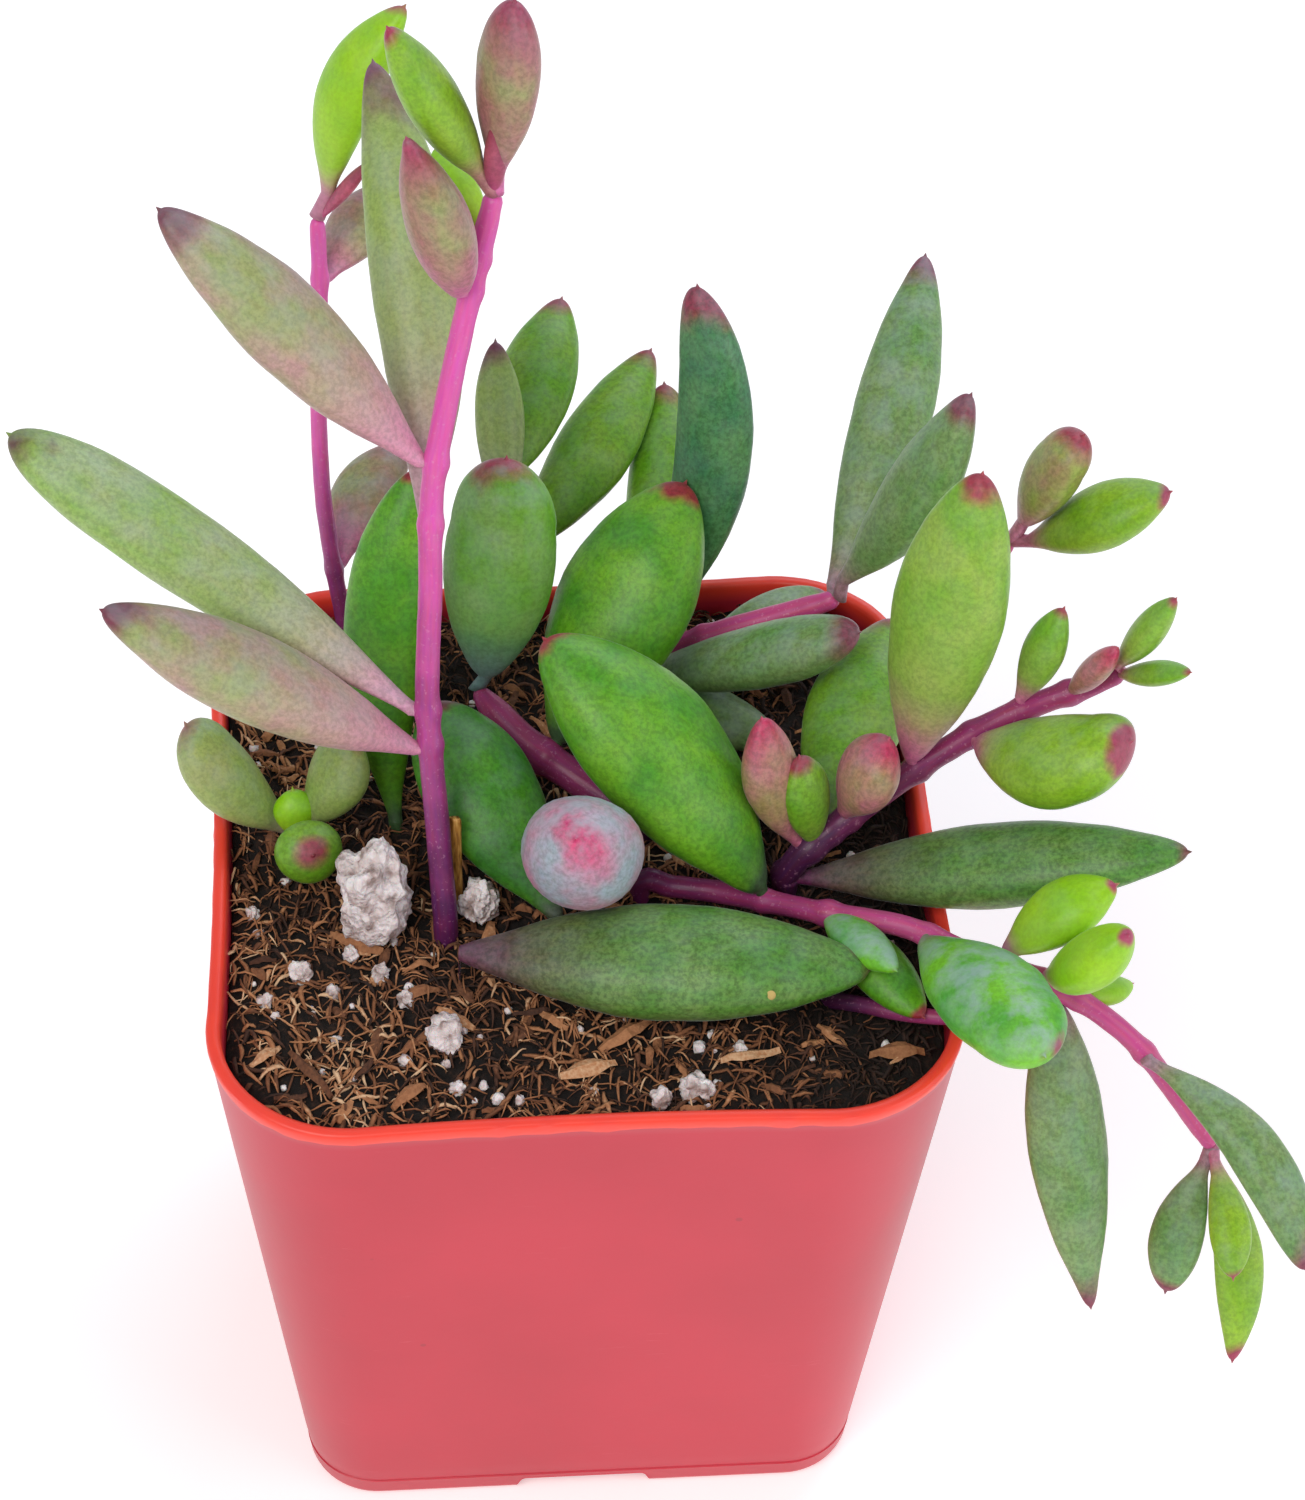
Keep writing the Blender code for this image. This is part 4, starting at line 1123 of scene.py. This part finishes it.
def perlite():
    """Expanded volcanic glass: chalk white, porous and matt, with painted shade in its hollows."""
    made, tree, shader, place = new_material("perlite_expanded")
    pore = add(tree, "TexVoronoi", links={"Vector": place, "Scale": 1 / (0.45 * MM)})
    hollow_shade = add(tree, "TexNoise", links={"Vector": place, "Scale": 1 / (1.4 * MM), "Detail": 5.0})
    # Where the bump is low the white is painted greyer: painted shade in the hollows.
    shade = ramp(tree, hollow_shade.outputs["Fac"],
                 [(0.32, "#A08C86"), (0.46, "#E0D4D2"), (0.62, "#F6F0F0")])
    tree.links.new(shade, shader.inputs["Base Color"])
    rough = add(tree, "Math", {"operation": "MULTIPLY_ADD"},
                {0: hollow_shade.outputs["Fac"], 1: 1.4, 2: pore.outputs["Distance"]})
    relief = add(tree, "Bump", links={"Strength": 0.9, "Distance": 0.25 * MM,
                                      "Height": rough.outputs[0]})
    tree.links.new(relief.outputs["Normal"], shader.inputs["Normal"])
    shader.inputs["Roughness"].default_value = 0.9
    shader.inputs["Subsurface Weight"].default_value = 0.15
    shader.inputs["Subsurface Scale"].default_value = 0.5 * MM
    return made


def lump(centre, sides, fineness, seed, roughness):
    """Points and faces of a porous lump."""
    work = bmesh.new()
    bmesh.ops.create_icosphere(work, subdivisions=fineness, radius=1.0)
    for vert in work.verts:
        n = vert.co.copy()
        shift = Vector((seed, 0, 0))
        swell = 1 + roughness * noise.noise(n * 1.6 + shift)
        swell += 0.45 * roughness * noise.noise(n * 4 + shift)
        swell += 0.22 * roughness * noise.noise(n * 9 + shift)
        scaled = Vector((n.x * sides[0], n.y * sides[1], n.z * sides[2]))
        vert.co = scaled * swell / 2 + Vector(centre)
    points = [v.co.copy() for v in work.verts]
    faces = [tuple(v.index for v in f.verts) for f in work.faces]
    work.free()
    return points, faces


white = perlite()
for number, name in enumerate(("perlite_large", "perlite_small")):
    low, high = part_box(name)
    middle, size = (low + high) / 2, high - low
    points, faces = lump(middle, size * 1.04, 5, 3.1 + 8 * number, 0.42)
    piece(name + "_crumb", points, faces, white, stands_for=(name,))
# x, y and size in mm
GRAINS = [(-11.8, -20.1, 3.6), (8.7, -26.2, 2.5), (5.7, -27.0, 1.8), (-21.3, -14.3, 1.3),
          (-15.1, -15.7, 1.5), (-15.4, -22.1, 1.1), (-11.1, -25.3, 1.3), (-17.2, -12.8, 1.6),
          (-19.7, -10.5, 1.4), (12.6, -22.4, 1.4), (9.3, -21.7, 1.2), (-7.8, -26.3, 1.1),
          (-28.0, -5.6, 1.3), (-27.0, -15.1, 1.4), (-6, -26.6, 0.9), (-24, -12.6, 2.0)]
for _ in range(FINE_GRAINS):
    GRAINS.append((draw.uniform(-28.5, 28.5), draw.uniform(-28.5, 28.5), draw.uniform(0.35, 0.95)))
points, faces = [], []
for number, (x, y, size) in enumerate(GRAINS):
    if not inside(x * MM, y * MM, 0.6 * MM):
        continue
    z = soil_height(x * MM, y * MM) + 0.30 * size * MM
    sides = [size * draw.uniform(0.85, 1.15) * MM for _ in range(3)]
    own, own_faces = lump((x * MM, y * MM, z), sides, 4 if size > 1.2 else 2, number * 1.7, 0.45)
    faces += [tuple(i + len(points) for i in face) for face in own_faces]
    points += own
piece("perlite_grains", points, faces, white)
print("perlite faces", len(faces))

# %% [markdown]
# ## The straw
# One broken stalk of straw stands in the soil beside the tall stem. It is a split tube, so it
# is drawn as a thin flattened stalk with fibres along it and a torn end.

# %% Straw


def straw_finish():
    """Dry straw: a hard satin skin with fine lines along the stalk."""
    made, tree, shader, place = new_material("straw_dry")
    stretch = add(tree, "Mapping", links={"Vector": place, "Scale": (1.0, 1.0, 0.08)})
    line = add(tree, "TexNoise", links={"Vector": stretch.outputs[0], "Scale": 1 / (0.2 * MM),
                                        "Detail": 3.0})
    shade = ramp(tree, line.outputs["Fac"],
                 [(0.35, "#8A5A24"), (0.5, "#C08838"), (0.7, "#E0B060")])
    tree.links.new(shade, shader.inputs["Base Color"])
    relief = add(tree, "Bump", links={"Strength": 0.6, "Distance": 0.06 * MM,
                                      "Height": line.outputs["Fac"]})
    tree.links.new(relief.outputs["Normal"], shader.inputs["Normal"])
    shader.inputs["Roughness"].default_value = 0.45
    return made


line, radius = stem_line("straw")
shares = np.linspace(0, 1, 60)
centres = through(line, shares)
points = []
for share, centre, (one, two) in zip(shares, centres, tube_frames(centres)):
    for i in range(12):
        angle = 2 * math.pi * i / 12
        ridge = 1 + 0.10 * math.cos(4 * angle) + 0.05 * noise.noise(Vector((angle, share * 9, 2)))
        torn = 0.4 * MM * noise.noise(Vector((3 * angle, 1, 1))) if share > 0.98 else 0
        out = one * math.cos(angle) * radius * 1.15 + two * math.sin(angle) * radius * 0.6
        points.append(centre + out * ridge + np.array([0, 0, min(torn, 0.2 * MM)]))
piece("straw_stalk", points, tube_faces(len(shares), 12), straw_finish(),
      stands_for=("straw",))

# %% [markdown]
# ## Size
# The drawn pieces have to keep the size of the imported model, so both boxes are written down.

# %% Sizes
low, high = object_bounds()
print("visual box in mm", [round(v / MM, 1) for v in (*low, *high)])
